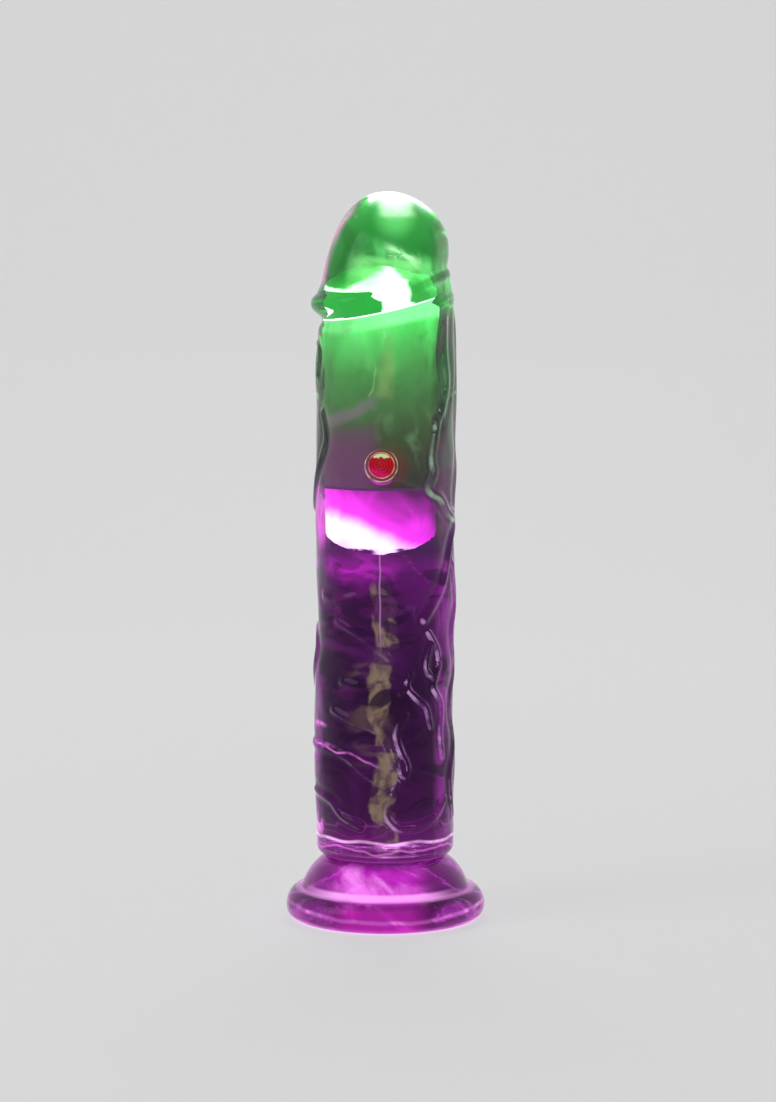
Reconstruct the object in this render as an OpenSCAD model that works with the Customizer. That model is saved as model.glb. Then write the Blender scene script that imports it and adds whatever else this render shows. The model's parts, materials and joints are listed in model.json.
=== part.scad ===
// Clear soft body on a suction foot, with a cast-in capsule that holds lights, a motor and a push button.
// Origin: centre of the foot's resting face. +Z runs up to the tip, the button faces -Y, the charging hole +Y.

/* [Foot] */
// Outer radius of the rim
foot_r = 32; // [30.5:0.1:34]
// Height from the resting face to the face that the body is bonded to
foot_h = 20.6; // [19:0.1:24]
// Height of the round rim
rim_h = 10.1; // [9:0.1:11]
// How far the foot of the bell sits in from the rim's edge
rim_in = 4.9; // [4.5:0.1:6]
// Depth of the groove between rim and bell, below the rim's top
rim_groove = 0.9; // [0.5:0.1:1.5]
// Radius of the bell's round side
bell_round = 19.4; // [16:0.1:26]
// Rounding of the rim's lower edge
rim_low_round = 4; // [3:0.1:5]
// Radius of the neck where foot and body meet
neck_r = 18.8; // [17.5:0.1:20]
// Depth of the suction hollow
cup_depth = 9; // [7.5:0.1:11]
// Width of the flat lip that rests on the table
lip_w = 4.3; // [3.5:0.1:5.5]

/* [Soft body] */
// Radius of the shaft
shaft_r = 22; // [20:0.1:25]
// Length from the bonded face to the crest of the brim
shaft_len = 180.2; // [172:0.1:200]
// Length from the crest of the brim to the tip
tip_len = 31.2; // [27:0.1:40]
// Radius of the tip's dome where it leaves the brim
tip_r = 19.9; // [18:0.1:21.5]
// How far the brim stands out past the dome
brim_out = 2.7; // [1:0.1:3.5]
// Depth of the groove under the brim
brim_groove = 0.9; // [0.3:0.1:1.5]
// Slope of the brim, falling towards -X
brim_tilt = 12.5; // [4:0.5:16]
// How far the tip leans towards +X
tip_lean = 2.2; // [0:0.1:4]
// Clearance between the soft body and what is cast into it
cast_gap = 0.1; // [0.05:0.01:0.2]

/* [Capsule] */
// Outer radius of the capsule
core_r = 12.5; // [12.2:0.1:13.5]
// Wall of the capsule
core_wall = 1.5; // [1.3:0.1:1.6]
// Height of the lower dome
core_low_dome = 6.5; // [6.3:0.1:8]
// Height of the clear top dome
core_top_dome = 10; // [8:0.1:12]
// Height of the capsule's lower end over the bonded face
core_lift = 97.4; // [88:0.1:98]
// Sideways place of the capsule's axis
core_x = -1.2; // [-2.5:0.1:2.5]
// Height of the lower shell, from the capsule's lower end to its shoulder
low_shell_h = 20.1; // [18.5:0.1:20.6]
// Thickness of the gasket between the two shells
gasket_t = 0.8; // [0.5:0.1:1.2]
// Length of the lap between the two shells
lap_len = 2.6; // [2:0.1:2.8]

/* [Button] */
// Radius of the button
button_r = 3.7; // [3.5:0.1:4.4]
// Clearance round the button
button_gap = 0.3; // [0.2:0.05:0.5]
// Travel of the button
button_travel = 0.4; // [0.2:0.05:0.6]
// How far the button stands out past the capsule
button_proud = 1.8; // [1:0.1:2.4]
// Height of the button over the capsule's lower end
button_lift = 28.1; // [27.7:0.1:29]
// Wall of the clear bezel round the button
bezel_wall = 1.2; // [0.8:0.1:1.8]
// How far the bezel stands out past the capsule
bezel_proud = 2.2; // [1.5:0.1:3]

/* [Power] */
// Radius of the battery cell
cell_r = 7; // [6:0.1:7]
// Length of the battery cell
cell_len = 35; // [30:0.1:35]
// Radius of the charging socket's bore
jack_bore_r = 1.25; // [0.9:0.05:1.5]
// Outer radius of the charging socket
jack_r = 2.8; // [2.4:0.1:2.8]
// Depth of the charging socket's bore
jack_depth = 9; // [7:0.1:9.5]
// Radius of the hole through the soft body to the socket
charge_hole_r = 3; // [2.8:0.1:3.4]
// Radius of a lead
lead_r = 0.45; // [0.35:0.01:0.45]

/* [Motor] */
// Radius of the motor
motor_r = 6; // [5.5:0.1:6]
// Length of the motor's metal can
can_len = 13; // [12:0.1:13]
// Length of the motor's plastic end cap
end_cap_len = 2; // [1.5:0.1:2]
// Radius of the motor's shaft
motor_shaft_r = 0.75; // [0.5:0.05:1]
// Radial clearance of the shaft in its bearings
bearing_gap = 0.05; // [0.03:0.01:0.1]
// Radius of the eccentric weight
weight_r = 5.6; // [4.5:0.1:6.5]
// Length of the eccentric weight
weight_len = 5.5; // [3.5:0.1:5.5]

// Clearance between the motor's shaft and the top light's board
shaft_gap = 1.2; // [0.6:0.1:2]

/* [Lights] */
// Thickness of the two light boards
led_board_t = 1; // [0.8:0.1:1.4]
// Width of the green light
green_led_w = 3.5; // [2.5:0.1:3.8]
// Height of the green light's base
green_led_h = 1.4; // [0.8:0.1:1.8]
// Radius of the reflector's mouth
reflector_r = 8; // [7:0.1:8.5]
// Height of the reflector
reflector_h = 3.4; // [2.4:0.1:4]
// Width of a magenta light
magenta_led_w = 2.5; // [1.6:0.1:3]
// Height of a magenta light
magenta_led_h = 1.1; // [0.7:0.1:1.5]
// How far the magenta lights lie from the capsule's axis
magenta_led_ring = 5; // [3:0.1:5.5]

/* [Hidden] */
$fn = 64;

tiny = 0.01;                 // overshoot that keeps cuts from sharing a face
arc_steps = 10;              // points along one quarter of a round profile

// Foot
crest_r = foot_r - 4.5;          // radius of the rim's crest
lip_r = foot_r - rim_low_round;
cup_r = lip_r - lip_w;
bell_foot = [foot_r - rim_in, rim_h - rim_groove];

// Soft body
brim_z = foot_h + shaft_len;
total_h = brim_z + tip_len;
end_round = shaft_r - neck_r;
ring_points = 48;            // points round the soft body
dome_rings = 12;
crest_lean = -1.4;           // the crest leans this far to the left
dome_power = 2.75;           // fullness of the tip's dome
brim_dip = 2.5;              // how far the brim sags at the front and back

// Capsule, with heights over its own lower end
core_z = foot_h + core_lift;
core_ri = core_r - core_wall;
lap_t = (core_wall - cast_gap) / 2;
upper_z = low_shell_h + gasket_t;
lens_skirt_t = 0.9;
lens_skirt_h = 3.5;
slip = 0.1;                  // clearance of a part that slips into the capsule
ledge_w = 1;
ledge_h = 1.1;

// Chassis, with heights over the capsule's lower end
deck_t = 1.2;
tab_t = 0.3;                 // thickness of the battery's tabs
low_deck_z = core_low_dome + 1.5;
deck_r = core_ri - 0.4;
cell_z = low_deck_z + deck_t + tab_t;
cell_y = core_ri - 0.8 - cell_r;
spine_t = 1.2;
spine_y = cell_y - cell_r - 0.2 - spine_t;
spine_w = 15;
jack_z = cell_z + cell_len + tab_t + 0.6 + jack_r;
top_deck_z = jack_z + jack_r + 1.2;
motor_z = top_deck_z + deck_t;
boot_t = 1.8;
boot_r = motor_r + slip + boot_t;
boot_h = end_cap_len + can_len - 0.6;
cradle_r = boot_r + slip;
cradle_t = 1.6;
cradle_h = boot_h - 2;
post_w = 1.6;
post_d = 3;
lead_window = [7, 2];        // width and height of the window that the motor's leads pass

// Boards
board_t = 1;
board_gap = 1.2;             // height of the bosses that hold the control board
board_y = spine_y - board_gap - board_t;
board_w = 15;
board_z = low_deck_z + deck_t + 1.3;
board_top = jack_z + 1.8;
screw_z = [board_z + 3, cell_z + cell_len - 2.8];
screw_r = 0.8;
screw_head_r = 1.5;
screw_head_h = 0.9;
screw_len = board_t + board_gap + spine_t - 0.25;
boss_r = 1.8;
low_board_r = core_ri - ledge_w - 1;
top_board_r = core_ri - slip - lens_skirt_t - 0.3;
chip_size = [5, 1, 4];
capacitor_size = [1.6, 0.9, 2.6];
status_led_size = [1.4, 0.8, 2];
tab_w = 4;

// Switch and button
switch_w = 5.2;
switch_t = 0.9;
plunger_r = 1.2;
switch_spare = 0.3;           // left over between flange and switch at the end of the travel
plunger_in = 0.2;
flange_t = 0.6;
flange_r = button_r + 0.8;
flange_y = board_y - switch_t - button_travel - switch_spare;
well_r = button_r + button_gap + bezel_wall + cast_gap;
bezel_r = button_r + button_gap + bezel_wall;

// Motor
can_wall = 0.5;
can_z = motor_z + end_cap_len;
can_top = can_z + can_len;
magnet_t = 0.8;
armature_r = motor_r - can_wall - magnet_t - slip - 0.5;
weight_z = can_top + 1.6;
weight_hub_r = 1.8;
shaft_z = motor_z + 0.6;
shaft_top = weight_z + weight_len + 0.7;

// Top of the chassis and of the capsule, over the motor
post_top = shaft_top + shaft_gap;
top_board_z = post_top;
lens_z = post_top + led_board_t + 1.6;
reflector_foot_r = reflector_r / 2;
reflector_t = 0.8;

// Circle of radius r through p and q, on the side that bulges to the right of p to q: its points from p to q.
function arc_through(p, q, r, steps) =
    let (mid = (p + q) / 2, half = norm(q - p) / 2, along = (q - p) / (2 * half),
         centre = mid - [along[1], -along[0]] * sqrt(r * r - half * half),
         from = atan2(p[1] - centre[1], p[0] - centre[0]),
         to = atan2(q[1] - centre[1], q[0] - centre[0]))
    [for (i = [0 : steps]) centre + r * [cos(from + (to - from) * i / steps), sin(from + (to - from) * i / steps)]];

// Points of a circle's arc from one angle to another.
function arc(centre, r, from, to, steps) =
    [for (i = [0 : steps]) centre + r * [cos(from + (to - from) * i / steps), sin(from + (to - from) * i / steps)]];

// Quarter of an ellipse from its rim [r, z] to its pole [0, z + h]; a negative h points down.
function dome(r, z, h, steps) =
    [for (i = [0 : steps]) [r * cos(90 * i / steps), z + h * sin(90 * i / steps)]];

function reversed(list) = [for (i = [len(list) - 1 : -1 : 0]) list[i]];

// ---- soft body: sections [height, radius, lean, slope, dip] from the bonded face to the tip ----

function smooth(t) = let (c = max(0, min(1, t))) c * c * (3 - 2 * c);

tilt_start = brim_z - 24;    // where the sections begin to slope
function slope_at(z) = brim_tilt * smooth((z - tilt_start) / 18);

// Brim sections: height past the crest, radius past the shaft, lean.
brim_sections = [
    [-9, 0, 0.2],
    [-6.4, -0.1, 0.5],
    [-5.1, -brim_groove * 0.8, 0.7],
    [-4.2, -brim_groove, 0.6],
    [-3, -brim_groove * 0.3, -0.1],
    [-1.6, tip_r + brim_out * 0.9 - shaft_r, 0.8 * crest_lean],
    [0, tip_r + brim_out - shaft_r, crest_lean],
    [1.7, tip_r + brim_out * 0.85 - shaft_r, 0.9 * crest_lean],
    [3.2, tip_r + brim_out * 0.45 - shaft_r, 0.5 * crest_lean]
];

// Dome sections: u is the share of the way from the brim to the tip.
function dome_u(i) = sin(90 * (i + 2.2) / (dome_rings + 2.2));
function dome_section(u) = [
    brim_z + tip_len * u,
    tip_r * sqrt(max(0, 1 - pow(u, dome_power))) * (1 + 0.02 * (1 - u)),
    crest_lean + (tip_lean - crest_lean) * (1 - pow(1 - u, 2)),
    brim_tilt * (0.82 - 1.25 * u),
    brim_dip * (1 - smooth(u / 0.6))
];

shaft_rings = 9;
shaft_from = foot_h + end_round;
body_sections = concat(
    [for (p = arc([neck_r, shaft_from], end_round, -90, 0, 4)) [p[1], p[0], 0, 0, 0]],
    [for (i = [1 : shaft_rings])
        let (z = shaft_from + (tilt_start - shaft_from) * i / shaft_rings) [z, shaft_r, 0, 0, 0]],
    [for (dz = [-20, -16, -12.5])
        [brim_z + dz, shaft_r, 0, slope_at(brim_z + dz), brim_dip * smooth((24 + dz) / 16)]],
    [for (s = brim_sections)
        [brim_z + s[0], shaft_r + s[1], s[2], slope_at(brim_z + s[0]) * (1 - 0.18 * smooth((s[0] + 5) / 6)), brim_dip]],
    [for (i = [0 : dome_rings - 1]) dome_section(dome_u(i))]
);

function ring(s) = [
    for (i = [0 : ring_points - 1])
        let (a = 360 * i / ring_points)
        [s[2] + s[1] * cos(a) * cos(s[3]), s[1] * sin(a), s[0] + s[1] * cos(a) * sin(s[3]) - s[4] * pow(sin(a), 2)]
];

// Closed skin over rings of equal length, with a point at each end.
module skin_over(rings, bottom, top) {
    n = len(rings[0]);
    last = len(rings) - 1;
    points = concat([bottom], [for (r = rings) each r], [top]);
    faces = concat(
        [for (i = [0 : n - 1]) [0, 1 + i, 1 + (i + 1) % n]],
        [for (k = [0 : last - 1]) for (i = [0 : n - 1]) each [
            [1 + k * n + i, 1 + (k + 1) * n + i, 1 + (k + 1) * n + (i + 1) % n],
            [1 + k * n + i, 1 + (k + 1) * n + (i + 1) % n, 1 + k * n + (i + 1) % n]]],
        [for (i = [0 : n - 1]) [1 + last * n + i, len(points) - 1, 1 + last * n + (i + 1) % n]]
    );
    polyhedron(points, faces, convexity = 4);
}

// ---- placing ----

// Puts a module that is drawn on the capsule's own axis in its place.
module in_core() {
    translate([core_x, 0, core_z]) children();
}

// A cylinder that runs along Y from y0 to y1, at [x, z].
module rod_y(x, z, y0, y1, r) {
    translate([x, y0, z]) rotate([-90, 0, 0]) cylinder(r = r, h = y1 - y0);
}

// A ring that runs along Z.
module tube(z, h, r_in, r_out) {
    translate([0, 0, z]) difference() {
        cylinder(r = r_out, h = h);
        translate([0, 0, -tiny]) cylinder(r = r_in, h = h + 2 * tiny);
    }
}

// A round lead through a list of points, with flat ends.
module lead(points) {
    for (i = [0 : len(points) - 2])
        let (p = points[i], d = points[i + 1] - p, l = norm(d))
            translate(p) rotate([0, acos(d[2] / l), atan2(d[1], d[0])]) cylinder(r = lead_r, h = l, $fn = 24);
    for (i = [1 : len(points) - 2])
        translate(points[i]) sphere(r = lead_r, $fn = 24);
}

// ---- foot and body ----

module suction_foot() {
    hollow_round = (cup_r * cup_r + cup_depth * cup_depth) / (2 * cup_depth);
    hollow_centre = [0, cup_depth - hollow_round];
    hollow_to = atan2(-hollow_centre[1], cup_r);
    bell_top = [neck_r, foot_h];
    crest_angle = 90 + 8;    // the rim's round runs just past its top, into the groove
    color([0.85, 0.45, 0.9, 0.5])
        rotate_extrude($fn = 96) polygon(concat(
            arc(hollow_centre, hollow_round, 90, hollow_to, arc_steps),
            arc([lip_r, rim_low_round], rim_low_round, -90, 0, arc_steps),
            [for (i = [1 : arc_steps]) let (a = crest_angle * i / arc_steps)
                [crest_r + (foot_r - crest_r) * cos(a), rim_low_round + (rim_h - rim_low_round) * sin(a)]],
            arc_through(bell_foot, bell_top, bell_round, arc_steps),
            [[0, foot_h]]
        ));
}

// Outside of the capsule, grown by gap: the hollow that it fills.
module capsule_envelope(gap) {
    rotate_extrude($fn = 96) polygon(concat(
        reversed(dome(core_r + gap, core_low_dome, -core_low_dome - gap, arc_steps)),
        dome(core_r + gap, lens_z, core_top_dome + gap, arc_steps)
    ));
}

module soft_body() {
    rings = [for (s = body_sections) ring(s)];
    color([0.8, 0.9, 0.85, 0.4]) difference() {
        skin_over(rings, [0, 0, foot_h], [tip_lean, 0, total_h]);
        in_core() {
            capsule_envelope(cast_gap);
            rod_y(0, button_lift, -2 * shaft_r, 0, well_r);
            rod_y(0, jack_z, 0, 2 * shaft_r, charge_hole_r);
        }
    }
}

// ---- capsule ----

module capsule_lower_shell() {
    color([0.9, 0.6, 0.95]) in_core() {
        rotate_extrude() polygon(concat(
            reversed(dome(core_r, core_low_dome, -core_low_dome, arc_steps)),
            [[core_r, low_shell_h], [core_ri + lap_t, low_shell_h],
             [core_ri + lap_t, upper_z + lap_len - slip], [core_ri, upper_z + lap_len - slip]],
            dome(core_ri, core_low_dome, core_wall - core_low_dome, arc_steps)
        ));
        tube(low_deck_z - ledge_h, ledge_h, core_ri - ledge_w, core_ri + tiny);
    }
}

module capsule_gasket() {
    color("white") in_core() tube(low_shell_h, gasket_t, core_ri + lap_t + slip / 2, core_r);
}

module capsule_upper_shell() {
    color([0.8, 0.95, 0.82]) in_core() difference() {
        tube(upper_z, lens_z - upper_z, core_ri, core_r);
        translate([0, 0, upper_z - tiny]) cylinder(r = core_r - lap_t, h = lap_len + tiny);
        rod_y(0, button_lift, -2 * core_r, 0, button_r + button_gap);
        rod_y(0, jack_z, 0, 2 * core_r, jack_r + slip);
    }
}

module top_lens() {
    color([0.75, 1, 0.8, 0.6]) in_core() rotate_extrude() polygon(concat(
        [[core_ri - slip - lens_skirt_t, lens_z - lens_skirt_h], [core_ri - slip, lens_z - lens_skirt_h],
         [core_ri - slip, lens_z]],
        dome(core_r, lens_z, core_top_dome, arc_steps),
        reversed(dome(core_ri - slip - lens_skirt_t, lens_z, core_top_dome - core_wall, arc_steps))
    ));
}

// ---- chassis and boards ----

module chassis() {
    color("white") in_core() difference() {
        union() {
            translate([0, 0, low_deck_z]) cylinder(r = deck_r, h = deck_t);
            translate([-spine_w / 2, spine_y, low_deck_z + deck_t - tiny])
                cube([spine_w, spine_t, top_deck_z - low_deck_z - deck_t + 2 * tiny]);
            translate([0, 0, top_deck_z]) cylinder(r = deck_r, h = deck_t);
            tube(motor_z - tiny, cradle_h + tiny, cradle_r, cradle_r + cradle_t);
            for (side = [-1, 1])
                translate([side * (cradle_r + cradle_t - post_w / 2) - post_w / 2, -post_d / 2, motor_z + cradle_h - 2])
                    cube([post_w, post_d, post_top - motor_z - cradle_h + 2]);
            for (z = screw_z)
                rod_y(0, z, spine_y - board_gap, spine_y + tiny, boss_r);
            translate([-jack_r + 0.3, spine_y + spine_t - tiny, jack_z - 2])
                cube([2 * jack_r - 0.6, jack_tail_y - spine_y - spine_t + tiny, 4]);
        }
        for (z = screw_z)
            rod_y(0, z, board_y, spine_y + spine_t + tiny, screw_r + 0.05);
        for (x = low_lead_x)
            translate([x, gap_y, low_deck_z - tiny]) cylinder(r = lead_r + 0.3, h = deck_t + 2 * tiny);
        for (x = motor_lead_x)
            translate([x, motor_lead_y, top_deck_z - tiny]) cylinder(r = lead_r + 0.3, h = deck_t + 2 * tiny);
        for (x = top_lead_x)
            translate([x - lead_r - 0.3, -core_r, top_deck_z - tiny])
                cube([2 * lead_r + 0.6, core_r - rise_y_in, deck_t + 2 * tiny]);
        translate([-lead_window[0] / 2, spine_y - tiny, top_deck_z - lead_window[1]])
            cube([lead_window[0], spine_t + 2 * tiny, lead_window[1]]);
    }
}

module control_board() {
    color([0.1, 0.35, 0.2]) in_core() difference() {
        translate([-board_w / 2, board_y, board_z]) cube([board_w, board_t, board_top - board_z]);
        for (z = screw_z)
            rod_y(0, z, board_y - tiny, board_y + board_t + tiny, screw_r + 0.1);
    }
}

module control_chip() {
    color([0.1, 0.1, 0.1]) in_core()
        translate([-chip_size[0] / 2, board_y - chip_size[1], screw_z[1] - 7.5]) cube(chip_size);
}

module board_capacitors() {
    color("tan") in_core()
        for (side = [-1, 1])
            translate([side * chip_size[0] - capacitor_size[0] / 2, board_y - capacitor_size[1], screw_z[1] - 6.5])
                cube(capacitor_size);
}

module board_screws() {
    color("silver") in_core()
        for (z = screw_z) {
            rod_y(0, z, board_y - screw_head_h, board_y, screw_head_r);
            rod_y(0, z, board_y - tiny, board_y - tiny + screw_len, screw_r);
        }
}

module status_leds() {
    color("red") in_core()
        for (side = [-1, 1])
            translate([side * (switch_w / 2 + 1.2) - status_led_size[0] / 2, board_y - status_led_size[1],
                       button_lift - status_led_size[2] / 2])
                cube(status_led_size);
}

// ---- switch and button ----

module switch_body() {
    color([0.15, 0.15, 0.15]) in_core() difference() {
        translate([-switch_w / 2, board_y - switch_t, button_lift - switch_w / 2]) cube([switch_w, switch_t, switch_w]);
        rod_y(0, button_lift, board_y - switch_t - tiny, board_y - tiny, plunger_r + button_gap);
    }
}

module switch_plunger() {
    color("white") in_core()
        rod_y(0, button_lift, flange_y, board_y - switch_t + plunger_in, plunger_r);
}

module button_cap() {
    face_y = -core_r - button_proud;
    crown = 0.8;             // height of the button's round face
    crown_round = (button_r * button_r + crown * crown) / (2 * crown);
    color([0.95, 0.05, 0.15]) in_core() {
        rod_y(0, button_lift, flange_y - flange_t, flange_y, flange_r);
        translate([0, flange_y, button_lift]) rotate([90, 0, 0]) rotate_extrude() polygon(concat(
            [[0, flange_t / 2], [button_r, flange_t / 2]],
            arc([0, flange_y - face_y - crown_round], crown_round, asin(1 - crown / crown_round), 90, arc_steps)
        ));
    }
}

module button_bezel() {
    color([0.9, 0.95, 0.95, 0.5]) in_core() difference() {
        rod_y(0, button_lift, -core_r - bezel_proud, 0, bezel_r);
        rod_y(0, button_lift, -core_r - bezel_proud - tiny, tiny, button_r + button_gap);
        cylinder(r = core_r + tiny, h = 2 * button_lift);
    }
}

// ---- power ----

module battery_cell() {
    color([0.2, 0.45, 0.7]) in_core() translate([0, cell_y, cell_z]) cylinder(r = cell_r, h = cell_len);
}

module battery_tab_top() {
    color("silver") in_core()
        translate([-tab_reach, tab_mid_y - tab_w / 2, cell_z + cell_len]) cube([tab_reach + 2, tab_w, tab_t]);
}

module battery_tab_bottom() {
    color("silver") in_core()
        translate([-tab_reach, tab_mid_y - tab_w / 2, cell_z - tab_t]) cube([tab_reach + 2, tab_w, tab_t]);
}

tab_reach = cell_r + 1.6;
tab_mid_y = cell_y - tab_w / 2;
gap_y = board_y + board_t + board_gap / 2;  // middle of the gap behind the control board
side_x = spine_w / 2 + lead_r + 0.3;        // leads pass this far out, beside the spine

module battery_leads() {
    color("firebrick") in_core() {
        top = cell_z + cell_len + tab_t;
        lead([[-side_x, tab_mid_y, top], [-side_x, tab_mid_y, top + 1], [-side_x, gap_y, top + 1],
              [-board_w / 2 + 1.5, gap_y, top + 1]]);
        lead([[-side_x, tab_mid_y, cell_z], [-side_x, tab_mid_y, cell_z + 2], [-side_x, gap_y, cell_z + 2],
              [-board_w / 2 + 1.5, gap_y, cell_z + 2]]);
    }
}

jack_tail = 2;               // solid end of the charging socket
jack_face_y = sqrt(core_r * core_r - jack_r * jack_r);  // its rim is flush with the capsule's round side
jack_tail_y = jack_face_y - jack_depth - jack_tail;

module charge_jack() {
    color([0.2, 0.2, 0.2]) in_core() difference() {
        rod_y(0, jack_z, jack_tail_y, jack_face_y, jack_r);
        rod_y(0, jack_z, jack_face_y - jack_depth, jack_face_y + tiny, jack_bore_r);
    }
}

// ---- motor ----

module motor_boot() {
    color([0.25, 0.25, 0.27]) in_core() tube(motor_z, boot_h, motor_r + slip, boot_r);
}

module motor_can() {
    color("silver") in_core() difference() {
        translate([0, 0, can_z]) cylinder(r = motor_r, h = can_len);
        translate([0, 0, can_z - tiny]) cylinder(r = motor_r - can_wall, h = can_len - can_wall + tiny);
        translate([0, 0, can_z]) cylinder(r = motor_shaft_r + bearing_gap, h = can_len + tiny);
    }
}

module motor_magnets() {
    color([0.3, 0.3, 0.3]) in_core() difference() {
        tube(can_z + 0.6, can_len - 3, motor_r - can_wall - slip - magnet_t, motor_r - can_wall - slip);
        for (side = [-1, 1])
            translate([side * motor_r - 3, -1, can_z]) cube([6, 2, can_len]);
    }
}

module motor_end_cap() {
    color("ivory") in_core() tube(motor_z, end_cap_len, motor_shaft_r + bearing_gap, motor_r - slip);
}

module motor_armature() {
    color("peru") in_core()
        tube(can_z + 1.4, can_len - 4.5, motor_shaft_r, armature_r);
}

module motor_shaft() {
    color("silver") in_core() translate([0, 0, shaft_z]) cylinder(r = motor_shaft_r, h = shaft_top - shaft_z);
}

module eccentric_weight() {
    color([0.45, 0.45, 0.45]) in_core() {
        tube(weight_z, weight_len, motor_shaft_r, weight_hub_r);
        intersection() {
            tube(weight_z, weight_len, motor_shaft_r, weight_r);
            translate([-weight_r, -weight_r, weight_z]) cube([2 * weight_r, weight_r, weight_len]);
        }
    }
}

motor_lead_x = [-1.6, 1.6];
motor_lead_y = spine_y + spine_t + 2;

module motor_leads() {
    level = top_deck_z - lead_window[1] / 2 + 0.1;
    color("royalblue") in_core()
        for (x = motor_lead_x)
            lead([[x, motor_lead_y, motor_z], [x, motor_lead_y, level], [x, gap_y, level], [x, gap_y, board_top - 1.5]]);
}

// ---- lights ----

top_lead_x = [-4.5, 4.5];
rise_r = (cradle_r + cradle_t + core_ri) / 2;                        // leads rise between cradle and shell
rise_y = -sqrt(rise_r * rise_r - top_lead_x[1] * top_lead_x[1]);
rise_y_in = -rise_y - lead_r - 0.3;

module top_led_board() {
    color("white") in_core() translate([0, 0, top_board_z]) cylinder(r = top_board_r, h = led_board_t);
}

module green_led() {
    color([0.2, 1, 0.35]) in_core() translate([0, 0, top_board_z + led_board_t]) {
        translate([-green_led_w / 2, -green_led_w / 2, 0]) cube([green_led_w, green_led_w, green_led_h]);
        translate([0, 0, green_led_h - tiny]) cylinder(r1 = green_led_w * 0.43, r2 = green_led_w * 0.23, h = 0.9);
    }
}

module top_reflector() {
    color("white") in_core() translate([0, 0, top_board_z + led_board_t]) difference() {
        cylinder(r1 = reflector_foot_r, r2 = reflector_r, h = reflector_h);
        translate([0, 0, -tiny])
            cylinder(r1 = reflector_foot_r - reflector_t, r2 = reflector_r - reflector_t, h = reflector_h + 2 * tiny);
    }
}

module top_led_leads() {
    turn = top_board_z - 2;
    level = top_deck_z - lead_window[1] / 2 + 0.1;
    color("gold") in_core()
        for (x = top_lead_x)
            lead([[x, gap_y, board_top - 1.5], [x, gap_y, level], [x, rise_y, level], [x, rise_y, turn],
                  [x, rise_y + 2, turn], [x, rise_y + 2, top_board_z]]);
}

low_board_z = low_deck_z - ledge_h - led_board_t + 0.3;
low_lead_x = [-3, 3];

module lower_led_board() {
    color("white") in_core() {
        translate([0, 0, low_board_z]) cylinder(r = low_board_r, h = led_board_t);
        for (side = [-1, 1])
            translate([side * 6, 2, low_board_z + led_board_t - tiny])
                cylinder(r = 0.9, h = low_deck_z - low_board_z - led_board_t + tiny);
    }
}

module magenta_leds() {
    color([1, 0.2, 1]) in_core()
        for (i = [0 : 2])
            rotate([0, 0, 120 * i + 30])
                translate([magenta_led_ring - magenta_led_w / 2, -magenta_led_w / 2, low_board_z - magenta_led_h])
                    cube([magenta_led_w, magenta_led_w, magenta_led_h]);
}

module lower_led_leads() {
    color("gold") in_core()
        for (x = low_lead_x)
            lead([[x, gap_y, board_z + 1.2], [x, gap_y, low_board_z + led_board_t]]);
}

suction_foot();
soft_body();
capsule_lower_shell();
capsule_upper_shell();
capsule_gasket();
top_lens();
chassis();
control_board();
control_chip();
board_capacitors();
board_screws();
status_leds();
switch_body();
switch_plunger();
button_cap();
button_bezel();
battery_cell();
battery_tab_top();
battery_tab_bottom();
battery_leads();
charge_jack();
motor_boot();
motor_can();
motor_magnets();
motor_end_cap();
motor_armature();
motor_shaft();
eccentric_weight();
motor_leads();
top_led_board();
green_led();
top_reflector();
top_led_leads();
lower_led_board();
magenta_leds();
lower_led_leads();
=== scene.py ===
import bpy
import json
import math
import numpy as np
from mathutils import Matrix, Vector

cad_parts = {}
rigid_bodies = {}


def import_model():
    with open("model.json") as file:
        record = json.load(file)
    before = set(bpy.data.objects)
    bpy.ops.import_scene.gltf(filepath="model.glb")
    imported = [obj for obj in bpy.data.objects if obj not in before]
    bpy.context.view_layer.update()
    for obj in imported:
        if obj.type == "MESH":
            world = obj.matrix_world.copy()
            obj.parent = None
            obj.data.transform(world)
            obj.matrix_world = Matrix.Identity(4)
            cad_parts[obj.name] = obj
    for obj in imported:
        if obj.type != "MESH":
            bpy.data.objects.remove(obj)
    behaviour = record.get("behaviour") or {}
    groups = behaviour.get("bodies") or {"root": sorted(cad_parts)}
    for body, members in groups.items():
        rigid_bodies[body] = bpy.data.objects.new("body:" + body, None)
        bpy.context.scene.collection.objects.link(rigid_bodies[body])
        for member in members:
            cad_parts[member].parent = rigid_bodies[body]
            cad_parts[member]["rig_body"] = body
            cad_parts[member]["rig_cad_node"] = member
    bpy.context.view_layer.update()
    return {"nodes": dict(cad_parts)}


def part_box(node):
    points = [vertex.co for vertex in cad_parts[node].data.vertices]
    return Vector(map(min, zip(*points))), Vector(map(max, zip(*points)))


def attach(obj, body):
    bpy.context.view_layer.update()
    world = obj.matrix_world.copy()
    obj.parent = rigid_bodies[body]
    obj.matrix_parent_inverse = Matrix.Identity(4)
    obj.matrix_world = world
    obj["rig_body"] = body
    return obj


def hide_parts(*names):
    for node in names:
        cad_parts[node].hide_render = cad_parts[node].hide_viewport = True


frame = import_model()
nodes = frame["nodes"]
mm = 0.001

camera = {
    "distance": 880 * mm,     # from the object's axis
    "height": 192 * mm,       # over the table
    "lookHeight": 118 * mm,   # height on the axis at the picture's middle
    "sideShift": 0.9 * mm,    # the axis lies a little left of the picture's middle
    "lens": 90.3,
    "sensor": 36,
    "nearest": 50 * mm,
}


def makeCamera():
    place = Vector((camera["sideShift"], -camera["distance"], camera["height"]))
    aim = Vector((camera["sideShift"], 0, camera["lookHeight"]))
    facing = (aim - place).to_track_quat("-Z", "Y").to_euler()
    bpy.ops.object.camera_add(location=place, rotation=facing)
    eye = bpy.context.object
    eye.name = "camera"
    eye.data.lens = camera["lens"]
    eye.data.sensor_width = camera["sensor"]
    eye.data.clip_start = camera["nearest"]
    bpy.context.scene.camera = eye


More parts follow.
